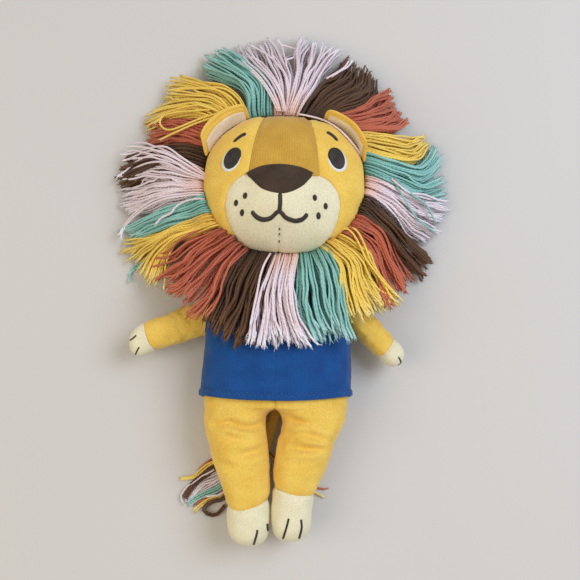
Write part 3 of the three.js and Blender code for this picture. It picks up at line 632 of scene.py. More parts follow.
def make_cheek(name, mirror):
    rows, columns = 110, 36
    inner = cheek_inner_edge(rows + 1)
    first = math.atan2(inner[0].y, inner[0].x)
    last = math.atan2(inner[-1].y, inner[-1].x)

    def place(across, along):
        start = inner[round(along * rows)]
        rim = direction(mix(first, last, along)).xy
        width = (rim - start).length * HEAD_HALF_WIDTH
        start = Vector((start.x * mirror, start.y))
        rim.x *= mirror
        spot = start.lerp(rim, across)
        lift = seam_dip(across * width, head_point(start)) + rim_dip(spot)
        lift += 0.6 * uneven(spot.x * 4.5, spot.y * 4.5)
        return head_place(spot, lift)

    bm = cloth_grid(columns, rows, 60, 150, place)
    map_from_above(bm)
    join_doubles(bm)
    finish_panel(name + "_cloth", bm, YELLOW, [name])


def make_forehead():
    def place(across, along):
        side = forehead_side(along)
        if along > 0.985:
            side = side.normalized()
        left = Vector((-side.x, side.y))
        flat = left.lerp(side, across)
        angle = mix(math.atan2(left.y, left.x), math.atan2(side.y, side.x), across)
        curved = direction(angle).xy * side.length
        spot = flat.lerp(curved, smooth(along * 1.4)) if along > 0.12 else flat
        width = 2 * abs(side.x) * HEAD_HALF_WIDTH
        lift = seam_dip(across * width, head_point(left)) + seam_dip((1 - across) * width, head_point(side))
        lift += rim_dip(spot) + 0.5 * uneven(spot.x * 4.5, spot.y * 4.5)
        return head_place(spot, lift)

    bm = cloth_grid(60, 70, 45, 65, place)
    finish_panel("forehead_cloth", bm, MUSTARD, ["forehead_panel"])


def make_head_back():
    def place(across, along):
        spot = direction(math.tau * across).xy * along
        lift = rim_dip(spot) if along else 0.0
        lift += 0.5 * uneven(spot.x * 3, spot.y * 3, 12)
        return head_place(spot, lift, back=True)

    bm = cloth_grid(144, 40, 370, 70, place)
    join_doubles(bm)
    finish_panel("head_back_cloth", bm, YELLOW, ["head_back", "head_fill"])


# Patches and stitches on the face

PATCH_SUNK = 0.5
RIBBON_SUNK = 0.4


def make_patch(bm, outline, lift, edge=0.9, rings=8):
    """A patch of cloth or satin stitch inside a closed plan outline, raised over its middle."""
    middle = sum(outline, Vector((0, 0, 0))) / len(outline)
    columns = len(outline)

    def place(across, along):
        corner = outline[round(across * columns) % columns]
        spot = middle.lerp(corner, along)
        from_edge = (corner - spot).length
        rise = mix(-PATCH_SUNK, lift, math.sqrt(clamp(from_edge / edge)))
        return from_plan(spot.x, spot.y, rise)

    size = (outline[0] - middle).length
    cloth_grid(columns, rings, math.tau * size, size, place, bm)
    join_doubles(bm)
    return bm


def make_ribbon(bm, line, width, lift, on_surface=from_plan, narrowing=0.0):
    """A raised line of satin stitch along plan points, with rounded ends."""
    columns, rows = 8, len(line) - 1
    length = sum((b - a).length for a, b in zip(line, line[1:]))

    def place(across, along):
        i = round(along * rows)
        before, after = line[max(0, i - 1)], line[min(rows, i + 1)]
        tangent = (after - before).normalized()
        side = Vector((tangent.y, -tangent.x, 0))
        from_end = min(along, 1 - along) * length
        half = width / 2 * math.sqrt(clamp(1 - (1 - clamp(from_end / (width / 2))) ** 2))
        half *= 1 - narrowing * along
        ragged = 1 + 0.08 * uneven(along * length / 0.9, across * 2, width)
        aside = across * 2 - 1
        spot = line[i] + side * (aside * half * ragged)
        dome = math.sqrt(max(0.0, 1 - aside ** 2)) * (half / (width / 2)) ** 0.5
        return on_surface(spot.x, spot.y, mix(-RIBBON_SUNK, lift, dome))

    return cloth_grid(columns, rows, width, length, place, bm)


def ellipse(x, y, half_width, half_height, lean, count):
    turn = math.radians(lean)
    points = []
    for k in range(count):
        angle = math.tau * k / count
        across, up = half_width * math.cos(angle), half_height * math.sin(angle)
        points.append(Vector((x + across * math.cos(turn) - up * math.sin(turn),
                              y + across * math.sin(turn) + up * math.cos(turn), 0)))
    return points


NOSE_LEFT = (-27.9, -2.6)
NOSE_RIGHT = (22.0, -1.1)
NOSE_TOP = [NOSE_LEFT, (-21.4, 0.9), (-14.2, 3.1), (-3.4, 4.2), (6.5, 3.6), (14.7, 1.9), NOSE_RIGHT]
NOSE_FOOT = [NOSE_RIGHT, (19.0, -6.4), (15.1, -11.9), (9.9, -16.3), (3.7, -18.9), (-1.1, -19.9),
             (-6.0, -19.6), (-11.4, -18.0), (-17.0, -14.9), (-22.7, -9.1), NOSE_LEFT]
NOSE_OUTLINE = smooth_line(NOSE_TOP, 61)[:-1] + smooth_line(NOSE_FOOT, 61)[:-1]
SMILE = [(-22.3, -30.4), (-20.1, -33.4), (-16.7, -35.8), (-12.6, -36.6), (-8.0, -35.6), (-2.4, -31.6),
         (2.8, -35.3), (9.0, -36.8), (13.6, -35.8), (16.4, -33.8), (18.1, -31.1)]
LIP = [(-2.1, -19.0), (-1.8, -26), (-2.2, -32.6)]
WHISKER_DOTS = [(-27.5, -19.7), (-34.1, -24.0), (-29.4, -31.0), (23.0, -19.9), (31.2, -24.3), (26.3, -31.6)]


# Each side's eye: its middle, its lean in degrees, and how far its white lies to the side; then the brow.
EYES = [
    ("left", -38.3, 9.6, -20, -0.8, [(-29.2, 30), (-34.0, 27.2), (-38.5, 23)]),
    ("right", 38.2, 12.7, 15, 0.96, [(30.2, 34.7), (35.0, 32.2), (39, 28.0)]),
]


def finish_on_face(name, bm, material, instead_of=()):
    face_outwards(bm, HEAD)
    finish_piece(name, bm, [material], "head", instead_of)


def make_face():
    nose = make_patch(bmesh.new(), NOSE_OUTLINE, 0.9, 1.2, 14)
    map_from_above(nose)
    finish_on_face("nose_cloth", nose, BROWN, ["nose_patch"])

    mouth = make_ribbon(bmesh.new(), smooth_line(SMILE, 90), 3.3, 0.9)
    make_ribbon(mouth, smooth_line(LIP, 30), 3.6, 0.9)
    finish_on_face("mouth_satin_stitch", mouth, DARK_THREAD, ["mouth_stitching"])

    dots = bmesh.new()
    for x, y in WHISKER_DOTS:
        make_patch(dots, ellipse(x, y, 1.9, 2.6, 0, 20), 0.8, 1.1, 5)
    finish_on_face("whisker_dots", dots, DARK_THREAD)

    for side, x, y, lean, aside, _ in EYES:
        white = make_patch(bmesh.new(), ellipse(x + aside, y - 0.8, 7.4, 10.1, lean, 48), 0.5, 0.8)
        finish_on_face(side + "_eye_white_stitch", white, WHITE_THREAD, [side + "_eye_white"])
        pupil = make_patch(bmesh.new(), ellipse(x, y, 6.4, 9.3, lean, 48), 1.1)
        finish_on_face(side + "_eye_stitch", pupil, EYE_THREAD, [side + "_eye"])

    for side, _, _, _, _, brow_line in EYES:
        brow = make_ribbon(bmesh.new(), smooth_line(brow_line, 24), 3.7, 0.8, narrowing=0.3)
        finish_on_face(side + "_brow_stitch", brow, DARK_THREAD, [side + "_brow"])

    dart = bmesh.new()
    for y in (-41.6, -44.6, -48.6):
        make_ribbon(dart, smooth_line([(-1.8, y), (-1.7, y - 1.6)], 8), 0.7, 0.1)
    finish_on_face("chin_dart_stitches", dart, DARK_THREAD)


# Ears

EAR_START = 119
EAR_END = 163
EAR_HEIGHT = 17
EAR_UPPER_END_SHARE = 0.45
EAR_LOWER_END_SHARE = 0.9
EAR_FOOT = 7
EAR_SLANT = 8
EAR_MIDDLE_OUT = 1.9
EAR_LININGS_SIDE = 0.85


def ear_height(across):
    """The ear's height at a place across it, from -1 at the top of the head to 1 at its side."""
    end_share = mix(EAR_UPPER_END_SHARE, EAR_LOWER_END_SHARE, (1 + across) / 2)
    return EAR_HEIGHT * mix(end_share, 1, math.sqrt(max(0.0, 1 - across ** 4)))


def ear_point(across, rise, out, mirror, lean):
    """A point of the ear: rise is in millimetres from its foot, and out is away from the head."""
    end = EAR_END - EAR_SLANT * clamp(rise / EAR_HEIGHT)
    angle = math.radians(mix(EAR_START, end, (across + 1) / 2))
    rim = math.sqrt(1 - (EAR_FOOT / HEAD_FRONT_DEPTH) ** 2)
    crumple = 1.1 * uneven(across * 1.3, rise / 11, mirror * 3) * clamp(rise / 6)
    reach = outline_radius(angle) * rim + CLEARANCE + out + crumple + rise * math.sin(lean)
    point = direction(angle) * reach
    return HEAD + Vector((point.x * -mirror, point.y, EAR_FOOT + rise * math.cos(lean)))


def make_ear(side, mirror, lean_degrees, border):
    lean = math.radians(lean_degrees)
    inside = ear_point(0, 8, EAR_MIDDLE_OUT, mirror, lean)

    def half_thickness(across, share):
        belly = math.sqrt(max(0.0, 1 - across ** 8)) * math.sqrt(max(0.0, 1 - share ** 7))
        from_edge = min((1 - share) * EAR_HEIGHT, (1 - abs(across)) * 22)
        return max(0.0, 1.7 * belly - 0.6 * hump(from_edge - 2.8, 0.7))

    def place(across, along):
        s = across * 2 - 1
        share = math.sin((1 - abs(along * 2 - 1)) * math.pi / 2)
        face = -1 if along < 0.5 else 1
        rise = mix(-2, ear_height(s), share)
        thickness = half_thickness(s, share) if 0.001 < share < 0.999 else 0
        return ear_point(s, rise, EAR_MIDDLE_OUT + face * thickness, mirror, lean)

    bm = cloth_grid(56, 56, 44, 40, place)
    close_bag(bm, inside, 0.01)
    ear = finish_piece(side + "_ear_cloth", bm, [YELLOW], side + "_ear", [side + "_ear_back"])

    def lining_place(across, along):
        s = (across * 2 - 1) * EAR_LININGS_SIDE
        top = ear_height(s) - border * mix(1, 1.25, (abs(s) / EAR_LININGS_SIDE) ** 3)
        rise = mix(-0.8, top, along)
        share = clamp((rise + 2) / (ear_height(s) + 2))
        from_edge = min((1 - abs(across * 2 - 1)) * 18, top - rise)
        raised = 0.1 + 0.45 * math.sqrt(clamp(from_edge / 1.4))
        return ear_point(s, rise, EAR_MIDDLE_OUT - half_thickness(s, share) - raised, mirror, lean)

    bm = cloth_grid(44, 22, 36, 13, lining_place)
    face_outwards(bm, inside)
    lining = finish_piece(side + "_ear_lining_cloth", bm, [LINING], side + "_ear", [side + "_ear_lining"],
                          LINING_THICKNESS)


# Body, arms and legs

BODY_HEIGHT = 25.3
BAG_FOOT = -38
BAG_TOP = 70
CROTCH = -46.5
LEG_START = -47
LEG_TOP = -28
LEG_LENGTH = 99
LEG_ROUNDING = 17
HIP_CORNER = 135
HELD_ABOVE = -52
HELD_BELOW = -106
LEG_LIFT = 9.2
TOE_WIDTH = 1.9
TOE_HEIGHT = 28
CLAW_WIDTH = 1.4
CLAW_HEIGHT = 24

# The trunk's half width and half depth along it.
TRUNK_ROWS = [(CROTCH, 53.4, 24), (-34, 54.6, 24), (0, 53.2, 24), (26, 50.5, 24), (42, 43, 20),
              (57, 12.5, 12.5), (BAG_TOP, 12.5, 12.5)]


def trunk_point(y, turn, grow=0.0):
    half_width, half_depth = along_rows(TRUNK_ROWS, y)
    return Vector(((half_width + grow) * swell(math.cos(turn)), y,
                   BODY_HEIGHT + (half_depth + grow) * swell(math.sin(turn))))


def make_body_bag():
    def place(across, along):
        y = mix(BAG_FOOT, BAG_TOP, along)
        closing = min(rounded_end(y - BAG_FOOT, 12), rounded_end(BAG_TOP - y, 6))
        point = trunk_point(y, math.tau * across)
        return Vector((point.x * closing, y, BODY_HEIGHT + (point.z - BODY_HEIGHT) * closing))

    bm = cloth_grid(96, 60, 250, 108, place)
    close_bag(bm, Vector((0, 0, BODY_HEIGHT)), 0.01)
    piece = finish_piece("body_cloth", bm, [YELLOW], None, ["torso_skin", "torso_fill"])
    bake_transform(piece, "torso", "head", start=(0, 0.05, 0.0253), end=(0, 0.068, 0.0253))


class Limb:
    """A stuffed arm or leg, measured by the distance along it and the turn round it."""

    def __init__(self, start, heading, roll, length, rounding, rows):
        self.start = Vector(start)
        self.along = direction(math.radians(heading))
        self.sideways = UP.cross(self.along)
        roll_it = Quaternion(self.along, math.radians(roll))
        self.across = roll_it @ self.sideways
        self.upwards = roll_it @ UP
        self.length = length
        self.rounding = rounding
        self.rows = rows

    def point(self, distance, turn, grow=0.0, closing=None):
        shift, lift, half_width, half_depth = along_rows(self.rows, distance)
        if closing is None:
            closing = rounded_end(self.length - distance, self.rounding)
        centre = self.start + self.along * distance + self.sideways * shift + UP * lift
        return (centre + self.across * ((half_width * closing + grow) * swell(math.cos(turn)))
                + self.upwards * ((half_depth * closing + grow) * swell(math.sin(turn))))

    def over_end(self, start, share):
        """The distance at that share from start to the tip, and how far the limb has closed in there."""
        straight = max(self.length - self.rounding - start, 0.0)
        split = straight / (straight + 1.4 * self.rounding)
        if share <= split:
            return mix(start, self.length - self.rounding, share / split if split else 1.0), 1.0
        bend = (share - split) / (1 - split) * math.pi / 2
        return (self.length - self.rounding + self.rounding * swell(math.sin(bend)),
                abs(math.cos(bend)) ** (2 / PLUMPNESS) if share < 1 else 0.0)


def fold_depth(point, folds):
    """How far soft creases press the cloth in at a plan place; each is a line, a depth and a width."""
    total = 0.0
    for line, depth, width in folds:
        best = None
        for i, (a, b) in enumerate(zip(line, line[1:])):
            a, b = Vector(a), Vector(b)
            span = b - a
            share = clamp((point.xy - a).dot(span) / span.length_squared)
            gap = point.xy - (a + span * share)
            if best is None or gap.length < abs(best):
                best = math.copysign(gap.length, span.x * gap.y - span.y * gap.x)
                along = (i + share) / (len(line) - 1)
        depth *= mix(0.35, 1, smooth(min(along, 1 - along) / 0.4))
        total += depth * (hump(best, width) - 0.55 * hump(best + width * 1.9, width * 1.2)
                          - 0.35 * hump(best - width * 1.9, width * 1.2))
    return total


def make_leg(side, mirror, drawn_up, widths, seam_rows, folds):
    """Makes a leg and its foot. The widths are the leg's edges and half depth along it, and seam_rows is
    the foot's seam from the leg's inner side to its outer side. Returns the foot's surface."""
    rows = []
    for distance, inner, outer, half_depth in widths:
        middle = (inner + outer) / 2
        rows.append((distance, middle * mirror, LEG_LIFT + half_depth, outer - middle, half_depth))
    leg = Limb((0, drawn_up + LEG_START, 0), -90, 0, LEG_LENGTH, LEG_ROUNDING, rows)

    def seam(turn):
        return along_rows(seam_rows, math.cos(turn) * mirror)[0]

    def hip(y, turn):
        """The trunk's half on this side, as a ring whose inner side is straight."""
        facing = (turn if mirror > 0 else math.pi - turn) % math.tau
        corner = math.radians(HIP_CORNER)
        if facing <= corner:
            point = trunk_point(y, facing * (math.pi / 2) / corner)
        elif facing < math.tau - corner:
            share = (facing - corner) / (math.tau - 2 * corner)
            half_depth = along_rows(TRUNK_ROWS, y)[1]
            point = Vector((0, y, BODY_HEIGHT + half_depth * mix(1, -1, share)))
        else:
            point = trunk_point(y, -(math.tau - facing) * (math.pi / 2) / corner)
        return Vector((point.x * mirror, point.y, point.z))

    def skin(distance, turn, closing=None):
        y = drawn_up + LEG_START - distance
        point = leg.point(max(distance, 0), turn, 0, closing)
        point.y = y
        inner = math.sqrt(1 - (1 - clamp((CROTCH - y) / 9)) ** 2)
        outer = smooth((-40 - y) / 32)
        parted = mix(outer, inner, smooth(0.5 - 0.5 * math.cos(turn) * mirror))
        if parted < 1:
            point = hip(y, turn).lerp(point, parted)
        return point

    def place(across, along):
        turn = math.tau * across
        end = seam(turn)
        distance = mix(LEG_TOP, end, along)
        point = skin(distance, turn)
        centre = leg.point(max(distance, 0), 0, 0, 0.0)
        centre.y = point.y
        front = clamp(math.sin(turn) * 1.6)
        ripple = 0.6 * uneven(point.x / 17, point.y / 11, point.z / 14 + mirror * 5)
        ripple += 0.35 * uneven(point.x / 8, point.y / 5, point.z / 8 + mirror * 9)
        point += (point - centre).normalized() * (ripple - fold_depth(point, folds) * front)
        point.z = max(point.z, CLEARANCE)
        return point + (point - centre).normalized() * seam_dip(end - distance, point, width=1.9)

    bm = cloth_grid(96, 110, 118, 98, place)
    close_bag(bm, leg.point(40, 0, 0, 0.0))
    piece = finish_piece(side + "_leg_cloth", bm, [YELLOW], None, [side + "_leg_skin", side + "_leg_fill"])

    def held_share(spot):
        return max(smooth((spot.y - HELD_ABOVE) / 10), smooth((drawn_up + HELD_BELOW - spot.y) / 8))

    blow_up(piece, held_share, 1.2)
    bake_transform(piece, "torso", side + "_leg", start=(0.029 * mirror, -0.040, 0.026),
             end=(0.029 * mirror, -0.070, 0.026))

    def foot_place(across, along):
        turn = math.tau * across
        start = seam(turn)
        distance, closing = leg.over_end(start, along)
        point = skin(distance, turn, closing)
        if along >= 0.999:
            return point
        centre = leg.point(distance, 0, 0, 0.0)
        outwards = (point - centre).normalized() if (point - centre).length > 1e-6 else Vector((0, -1, 0))
        ripple = 0.6 * noise.noise(point / 9)
        return point + outwards * (seam_dip(distance - start, point, width=1.9) + ripple * closing)

    bm = cloth_grid(96, 56, 110, 45, foot_place)
    close_bag(bm, leg.point(80, 0, 0, 0.0))
    tree = BVHTree.FromBMesh(bm)
    foot = finish_piece(side + "_foot_cloth", bm, [CREAM], side + "_leg", [side + "_foot"])
    return tree


def seen_on(tree, x, y, height):
    """Where the camera's line through a point meets a piece, and which way the cloth faces there."""
    through = Vector((x, y, height))
    ray = (through - CAMERA_PLACE).normalized()
    spot, normal, _, _ = tree.ray_cast(CAMERA_PLACE, ray)
    if spot is None:
        spot, normal, _, _ = tree.find_nearest(through)
    return spot, normal


def make_claws(name, tree, lines, height, body, width):
    """Stitched lines on a paw or foot, where the camera sees them at that height."""
    def on_surface(x, y, rise):
        spot, normal = seen_on(tree, x, y, height)
        return spot + normal * rise

    bm = bmesh.new()
    for line in lines:
        make_ribbon(bm, smooth_line(line, 22), width, 0.6, on_surface)
    inside = sum((vert.co for vert in bm.verts), Vector((0, 0, 0))) / len(bm.verts) - Vector((0, 0, 20))
    face_outwards(bm, inside)
    finish_piece(name, bm, [DARK_THREAD], body)


# An arm's shift, lift, half width and half depth along it.
ARM_ROWS = [(0, 0, 0, 13.9, 10.6), (54.5, 0, 0, 11.8, 9.6), (62, 0, 0, 11.8, 9.7), (72.5, 0, 0, 10.4, 9.2)]
BENT_ARM_ROWS = [(0, 0, 0, 13.9, 10.6), (50, 0, 0, 12.0, 9.6), (60, 0.6, 0, 11.6, 9.7),
                 (73, 3.4, 0, 10.2, 9.3)]
LEFT_ARM = Limb((-46.9, 26.4, 22), 201.5, 0, 73, 12, BENT_ARM_ROWS)
RIGHT_ARM = Limb((43.1, 43.9, 22), -45, 90, 72.5, 12, ARM_ROWS)
WRIST_BOW = 3.0


def make_arm(side, arm, wrist, tilt):
    """Makes an arm and its paw, whose seam bows and tilts across the wrist. Returns the paw's surface."""
    def seam(turn):
        facing = arm.across * math.cos(turn) + arm.upwards * math.sin(turn)
        return wrist + WRIST_BOW * facing.z + tilt * facing.dot(arm.sideways)

    def place(across, along):
        turn = math.tau * across
        end = seam(turn)
        distance = mix(-6, end, along)
        dip = seam_dip(end - distance, arm.point(end, turn), 0.9, 1.7)
        point = arm.point(distance, turn, dip, 1.0)
        ripple = 0.5 * uneven(point.x / 14, point.y / 11, point.z / 12)
        ripple += 0.25 * uneven(point.x / 6, point.y / 5, point.z / 6)
        centre = arm.point(distance, 0, 0, 0.0)
        return point + (point - centre).normalized() * ripple

    bm = cloth_grid(72, 60, 76, 60, place)
    close_bag(bm, arm.point(30, 0, 0, 0.0))
    piece = finish_piece(side + "_arm_cloth", bm, [YELLOW], side + "_arm",
                         [side + "_arm_skin", side + "_arm_fill"])

    def held_share(spot):
        distance = (spot - arm.start).dot(arm.along)
        return max(smooth((12 - distance) / 8), smooth((distance - wrist + 8) / 6))

    blow_up(piece, held_share, 0.8)

    def paw_place(across, along):
        turn = math.tau * across
        begin = seam(turn)
        distance, closing = arm.over_end(begin, along)
        dip = seam_dip(distance - begin, arm.point(begin, turn), 0.9, 1.7) if along < 0.999 else 0
        return arm.point(distance, turn, dip, closing)

    bm = cloth_grid(72, 40, 74, 30, paw_place)
    close_bag(bm, arm.point(62, 0, 0, 0.0))
    tree = BVHTree.FromBMesh(bm)
    paw = finish_piece(side + "_paw_cloth", bm, [CREAM], side + "_arm", [side + "_paw"])
    return tree


SHIRT_EASE = 2.6
SHIRT_LOW = 0.5
SHIRT_TOP = 50
HEM_FOLD = 5.2
HEM_STITCHES = 92
ARMHOLE_POINTS = 64
ARMHOLE_EASE = 0.3


def shirt_hem(turn):
    """The hem's place along the body: bowed, and a little higher at the right."""
    across = math.cos(turn)
    return -41 + 5 * across * across + 2 * across


def shirt_point(turn, y, out=0.0):
    flare = 1.4 * smooth((-26 - y) / 14)
    ripple = 0.8 * uneven(math.cos(turn) * 3, math.sin(turn) * 2, y / 18)
    ripple += 0.45 * uneven(math.cos(turn) * 7, math.sin(turn) * 4, y / 10 + 5)
    point = trunk_point(y, turn, SHIRT_EASE + flare + ripple + out)
    point.z = max(point.z, SHIRT_LOW)
    return point


def make_armhole(bm, tree, arm):
    """The rolled edge of the shirt round an arm, on the line where the arm comes out through the shirt."""
    count = ARMHOLE_POINTS
    line = []
    for k in range(count):
        turn = math.tau * k / count
        low, high = -6.0, 34.0
        for _ in range(18):
            trial = (low + high) / 2
            point = arm.point(trial, turn, ARMHOLE_EASE, 1.0)
            spot, normal, _, _ = tree.find_nearest(point)
            if (point - spot).dot(normal) < 0:
                low = trial
            else:
                high = trial
        spot = arm.point(low, turn, ARMHOLE_EASE, 1.0)
        line.append((spot, tree.find_nearest(spot)[1]))

    def place(across, along):
        i = round(along * count) % count
        spot, normal = line[i]
        tangent = (line[(i + 1) % count][0] - line[i - 1][0]).normalized()
        turn = math.tau * across
        size = 1.1 + 0.3 * noise.noise(spot / 2.6)
        return spot + (normal * math.cos(turn) + tangent.cross(normal) * math.sin(turn)) * size

    cloth_grid(10, count, 7, 75, place, bm)


def make_shirt():
    def place(across, along):
        turn = math.tau * across
        y = mix(shirt_hem(turn), SHIRT_TOP, along)
        from_hem = y - shirt_hem(turn)
        fold = 0.45 * smooth((HEM_FOLD - from_hem) / 0.8) - 0.6 * hump(from_hem - HEM_FOLD, 0.7)
        roll = -0.9 * hump(from_hem, 0.8)
        side = -0.7 * hump(abs(math.sin(turn)) * 24, 1.4)
        return shirt_point(turn, y, fold + roll + side)

    bm = cloth_grid(220, 120, 262, 93, place)
    join_doubles(bm, 0.005)
    face_outwards(bm, Vector((0, 0, BODY_HEIGHT)))
    tree = BVHTree.FromBMesh(bm)
    shirt = finish_piece("shirt_cloth", bm, [BLUE], "torso", ["shirt_front", "shirt_back"],
                         SHIRT_THICKNESS)

    rims = bmesh.new()
    make_armhole(rims, tree, LEFT_ARM)
    make_armhole(rims, tree, RIGHT_ARM)
    join_doubles(rims, 0.005)
    bmesh.ops.recalc_face_normals(rims, faces=rims.faces)
    finish_piece("shirt_armhole_edges", rims, [BLUE], "torso")

    # The hem's stitches lie in two rows, one on the fold's edge and one lower down.
    stitches = bmesh.new()
    for k in range(2 * HEM_STITCHES):
        turn = math.pi * (k + 0.5) / HEM_STITCHES
        line = HEM_FOLD - 1.7 * (k % 2)
        out = 0.1 + 0.45 * (k % 2)
        middle = shirt_point(turn, shirt_hem(turn) + line, out)
        ahead = shirt_point(turn + 0.02, shirt_hem(turn + 0.02) + line, out)
        tangent = (ahead - middle).normalized()
        made = bmesh.ops.create_icosphere(stitches, subdivisions=1, radius=1.0)["verts"]
        outwards = (middle - Vector((0, middle.y, BODY_HEIGHT))).normalized()
        side = tangent.cross(outwards)
        turned = Matrix((tangent, side, outwards)).transposed().to_4x4()
        size = Matrix.Diagonal((1.0, 0.3, 0.25, 1))
        bmesh.ops.transform(stitches, matrix=Matrix.Translation(middle) @ turned @ size, verts=made)
    finish_piece("shirt_hem_stitches", stitches, [BLUE_THREAD], "torso")


# Yarn

STRAND_SHADE_AND_TONE = "strand_shade_and_tone"
STRAND_SHARE = "strand_share"
STRAND_RADIUS = 0.85
STRAND_STEPS = 20
BASE_STRANDS = 32
LOCK_STRANDS = 58
LOCKS = 6
STRAY_CHANCE = 0.1
THICKEST_AT = 0.45
CHEST_TUFTS = range(9, 14)

# The part of its yarn's range of colours that a strand runs through, from the painted shade at the root to
# the painted light at the tip, and the size of a loose ply at its end.
SHARES_ALONG = (0, 0.96)
PLY_SIZE = 0.42

Tuft = namedtuple("Tuft", "colour first last reaches over parting")
Lock = namedtuple("Lock", "start end start_own end_own half_width seed")
Strand = namedtuple("Strand", "path radius tone shares taper material", defaults=(1.0, 0))

# Each tuft, clockwise from the top: its colour, the bearings of its first and of its last strands at the
# tape, a third, two thirds and all of the way along, how far those two reach, how high it lies over its
# neighbours, and the share of its width that its locks leave open at the ends.
TUFTS = [Tuft(*row) for row in (
    ("pink", (101, 100, 106, 110), (82, 76, 74, 73), (143, 138), 2.5, 0.16),
    ("brown", (80, 76, 71, 70), (61, 52, 48, 54), (139, 131), 1.5, 0.0),
    ("rust", (62, 52, 50, 50), (44, 35, 32, 35), (129, 124), 0.0, 0.0),
    ("yellow", (43, 34, 28, 28), (27, 17, 15, 22), (132, 129), 2.0, 0.05),
    ("teal", (25, 16, 13, 22), (10, 3, 0, 3), (136, 135), 1.0, 0.12),
    ("pink", (9, 2, -1, 0), (-8, -10, -16, -15), (135, 124), 0.8, 0.1),
    ("brown", (-8, -14, -18, -19), (-23, -23, -28, -29), (129, 132), 0.0, 0.1),
    ("rust", (-23, -21, -27, -31), (-42, -38, -44, -49), (124, 124), 1.2, 0.06),
    ("yellow", (-42, -36, -41, -42), (-59, -56, -61, -63), (129, 122), 2.0, 0.05),
    ("teal", (-57, -58, -62, -64), (-78, -81, -82, -79), (131, 126), 2.5, 0.04),
    ("pink", (-77, -83, -83, -79), (-97, -99, -100, -100), (128, 131), 3.0, 0.03),
    ("brown", (-96, -98, -99, -100), (-118, -119, -117, -117), (131, 127), 1.2, 0.0),
    ("rust", (-116, -118, -117, -118), (-145, -150, -151, -155), (126, 121), 4.8, 0.0),
    ("yellow", (-142, -149, -150, -141), (-153, -157, -159, -163), (128, 139), -0.4, 0.05),
    ("teal", (-151, -157, -160, -162), (-169, -168, -168, -167), (126, 137), 0.3, 0.1),
    ("pink", (-167, -169, -170, -172), (-187, -192, -195, -194), (136, 139), 1.6, 0.12),
    ("brown", (-185, -188, -185, -182), (-204, -201, -197, -194), (138, 139), 0.0, 0.0),
    ("rust", (-203, -202, -201, -199), (-222, -216, -214, -212), (125, 131), 0.4, 0.1),
    ("yellow", (-221, -219, -213, -206), (-241, -241, -234, -230), (135, 140), 2.0, 0.08),
    ("teal", (-240, -245, -240, -236), (-258, -261, -255, -250), (141, 141), 1.8, 0.05),
)]

# Strands that wander over other tufts: the tuft that they are part of, how far they lie above the tufts
# below, and their route in plan from the middle of the head. One lies on the face, at the right ear's foot.
LOOSE_STRANDS = [
    (19, 1.0, [(-52, 54), (-63, 51), (-74, 47), (-83, 44), (-90, 43), (-97, 46), (-102, 54), (-101, 60)]),
    (19, 1.0, [(-60, 57), (-76, 58), (-90, 60), (-99, 60), (-106, 55)]),
    (19, 1.0, [(-57, 50), (-72, 45), (-85, 40), (-99, 36)]),
    (16, 1.2, [(-58, 2), (-70, 11), (-80, 18), (-93, 28), (-107, 31), (-122, 32), (-134, 31)]),
    (16, 0.6, [(-58, 1), (-71, 9), (-83, 17), (-96, 25), (-110, 29), (-124, 28), (-133, 26)]),
    (16, 1.2, [(-58, 0), (-74, 7), (-92, 19), (-108, 24), (-123, 21), (-136, 12)]),
    (16, 0.6, [(-58, -1), (-75, 5), (-93, 15), (-108, 18), (-121, 17), (-133, 13)]),
    (16, 1.0, [(-59, -17), (-74, -18), (-82, -22), (-85, -26), (-93, -29), (-98, -33)]),
    (16, 1.4, [(-60, -14), (-82, -14), (-102, -17), (-119, -24), (-128, -32), (-129, -39)]),
    (16, 0.8, [(-60, -12), (-80, -12), (-100, -14), (-116, -20), (-126, -27), (-131, -36)]),
    (15, -10.0, [(-84, -46), (-98, -50), (-110, -55), (-120, -61), (-122, -73)]),
    (15, -10.0, [(-84, -44), (-100, -51), (-113, -58), (-123, -66)]),
    (1, None, [(9, 52), (16, 52.5), (23, 51), (31, 47), (40, 40), (49, 31), (57, 23)]),
    (1, 0.6, [(30, 90), (38, 99), (45, 109), (49, 119)]),
    (1, 0.6, [(34, 93), (41, 102), (48, 111), (52, 121)]),
    (1, 2.2, [(-6, 56), (-9, 64), (-16, 77), (-25, 91), (-34, 103), (-42, 117)]),
    (1, 1.4, [(-7, 56), (-11, 65), (-18, 78), (-27, 91), (-36, 103), (-45, 114)]),
    (1, 1.8, [(-5, 56), (-8, 66), (-14, 79), (-23, 93), (-32, 105), (-39, 119)]),
    (1, 1.2, [(-3, 56), (-5, 66), (-11, 80), (-19, 93), (-28, 106), (-34, 119)]),
    (1, 2.2, [(-2, 56), (-4, 67), (-9, 80), (-17, 93), (-25, 106), (-31, 118)]),
    (1, 1.6, [(-1, 56), (-3, 66), (-7, 78), (-14, 92), (-23, 107), (-30, 114)]),
    (1, -5.0, [(4, 72), (1, 88), (-1, 101), (-8, 116), (-21, 132)]),
    (1, -5.0, [(6, 74), (4, 90), (0, 108), (-4, 117), (7, 126)]),
    (1, -5.0, [(5, 70), (3, 86), (1, 105), (-4, 119), (-12, 132)]),
    (5, 1.0, [(84, 8), (99, -2), (111, -6), (117, -12), (121, -17)]),
    (5, 1.0, [(86, 2), (101, -17), (112, -23), (122, -25)]),
    (6, 0.8, [(82, 7), (96, -1), (110, 1), (123, 1)]),
    (9, 1.2, [(42, -38), (49, -36), (59, -47), (65, -58), (78, -73), (92, -84)]),
    (9, 0.8, [(44, -37), (53, -35), (62, -45), (69, -60), (80, -73), (94, -86)]),
    (11, 1.0, [(-8, -56), (-12, -65), (-14.5, -75), (-16, -87), (-18, -99), (-20, -112)]),
]


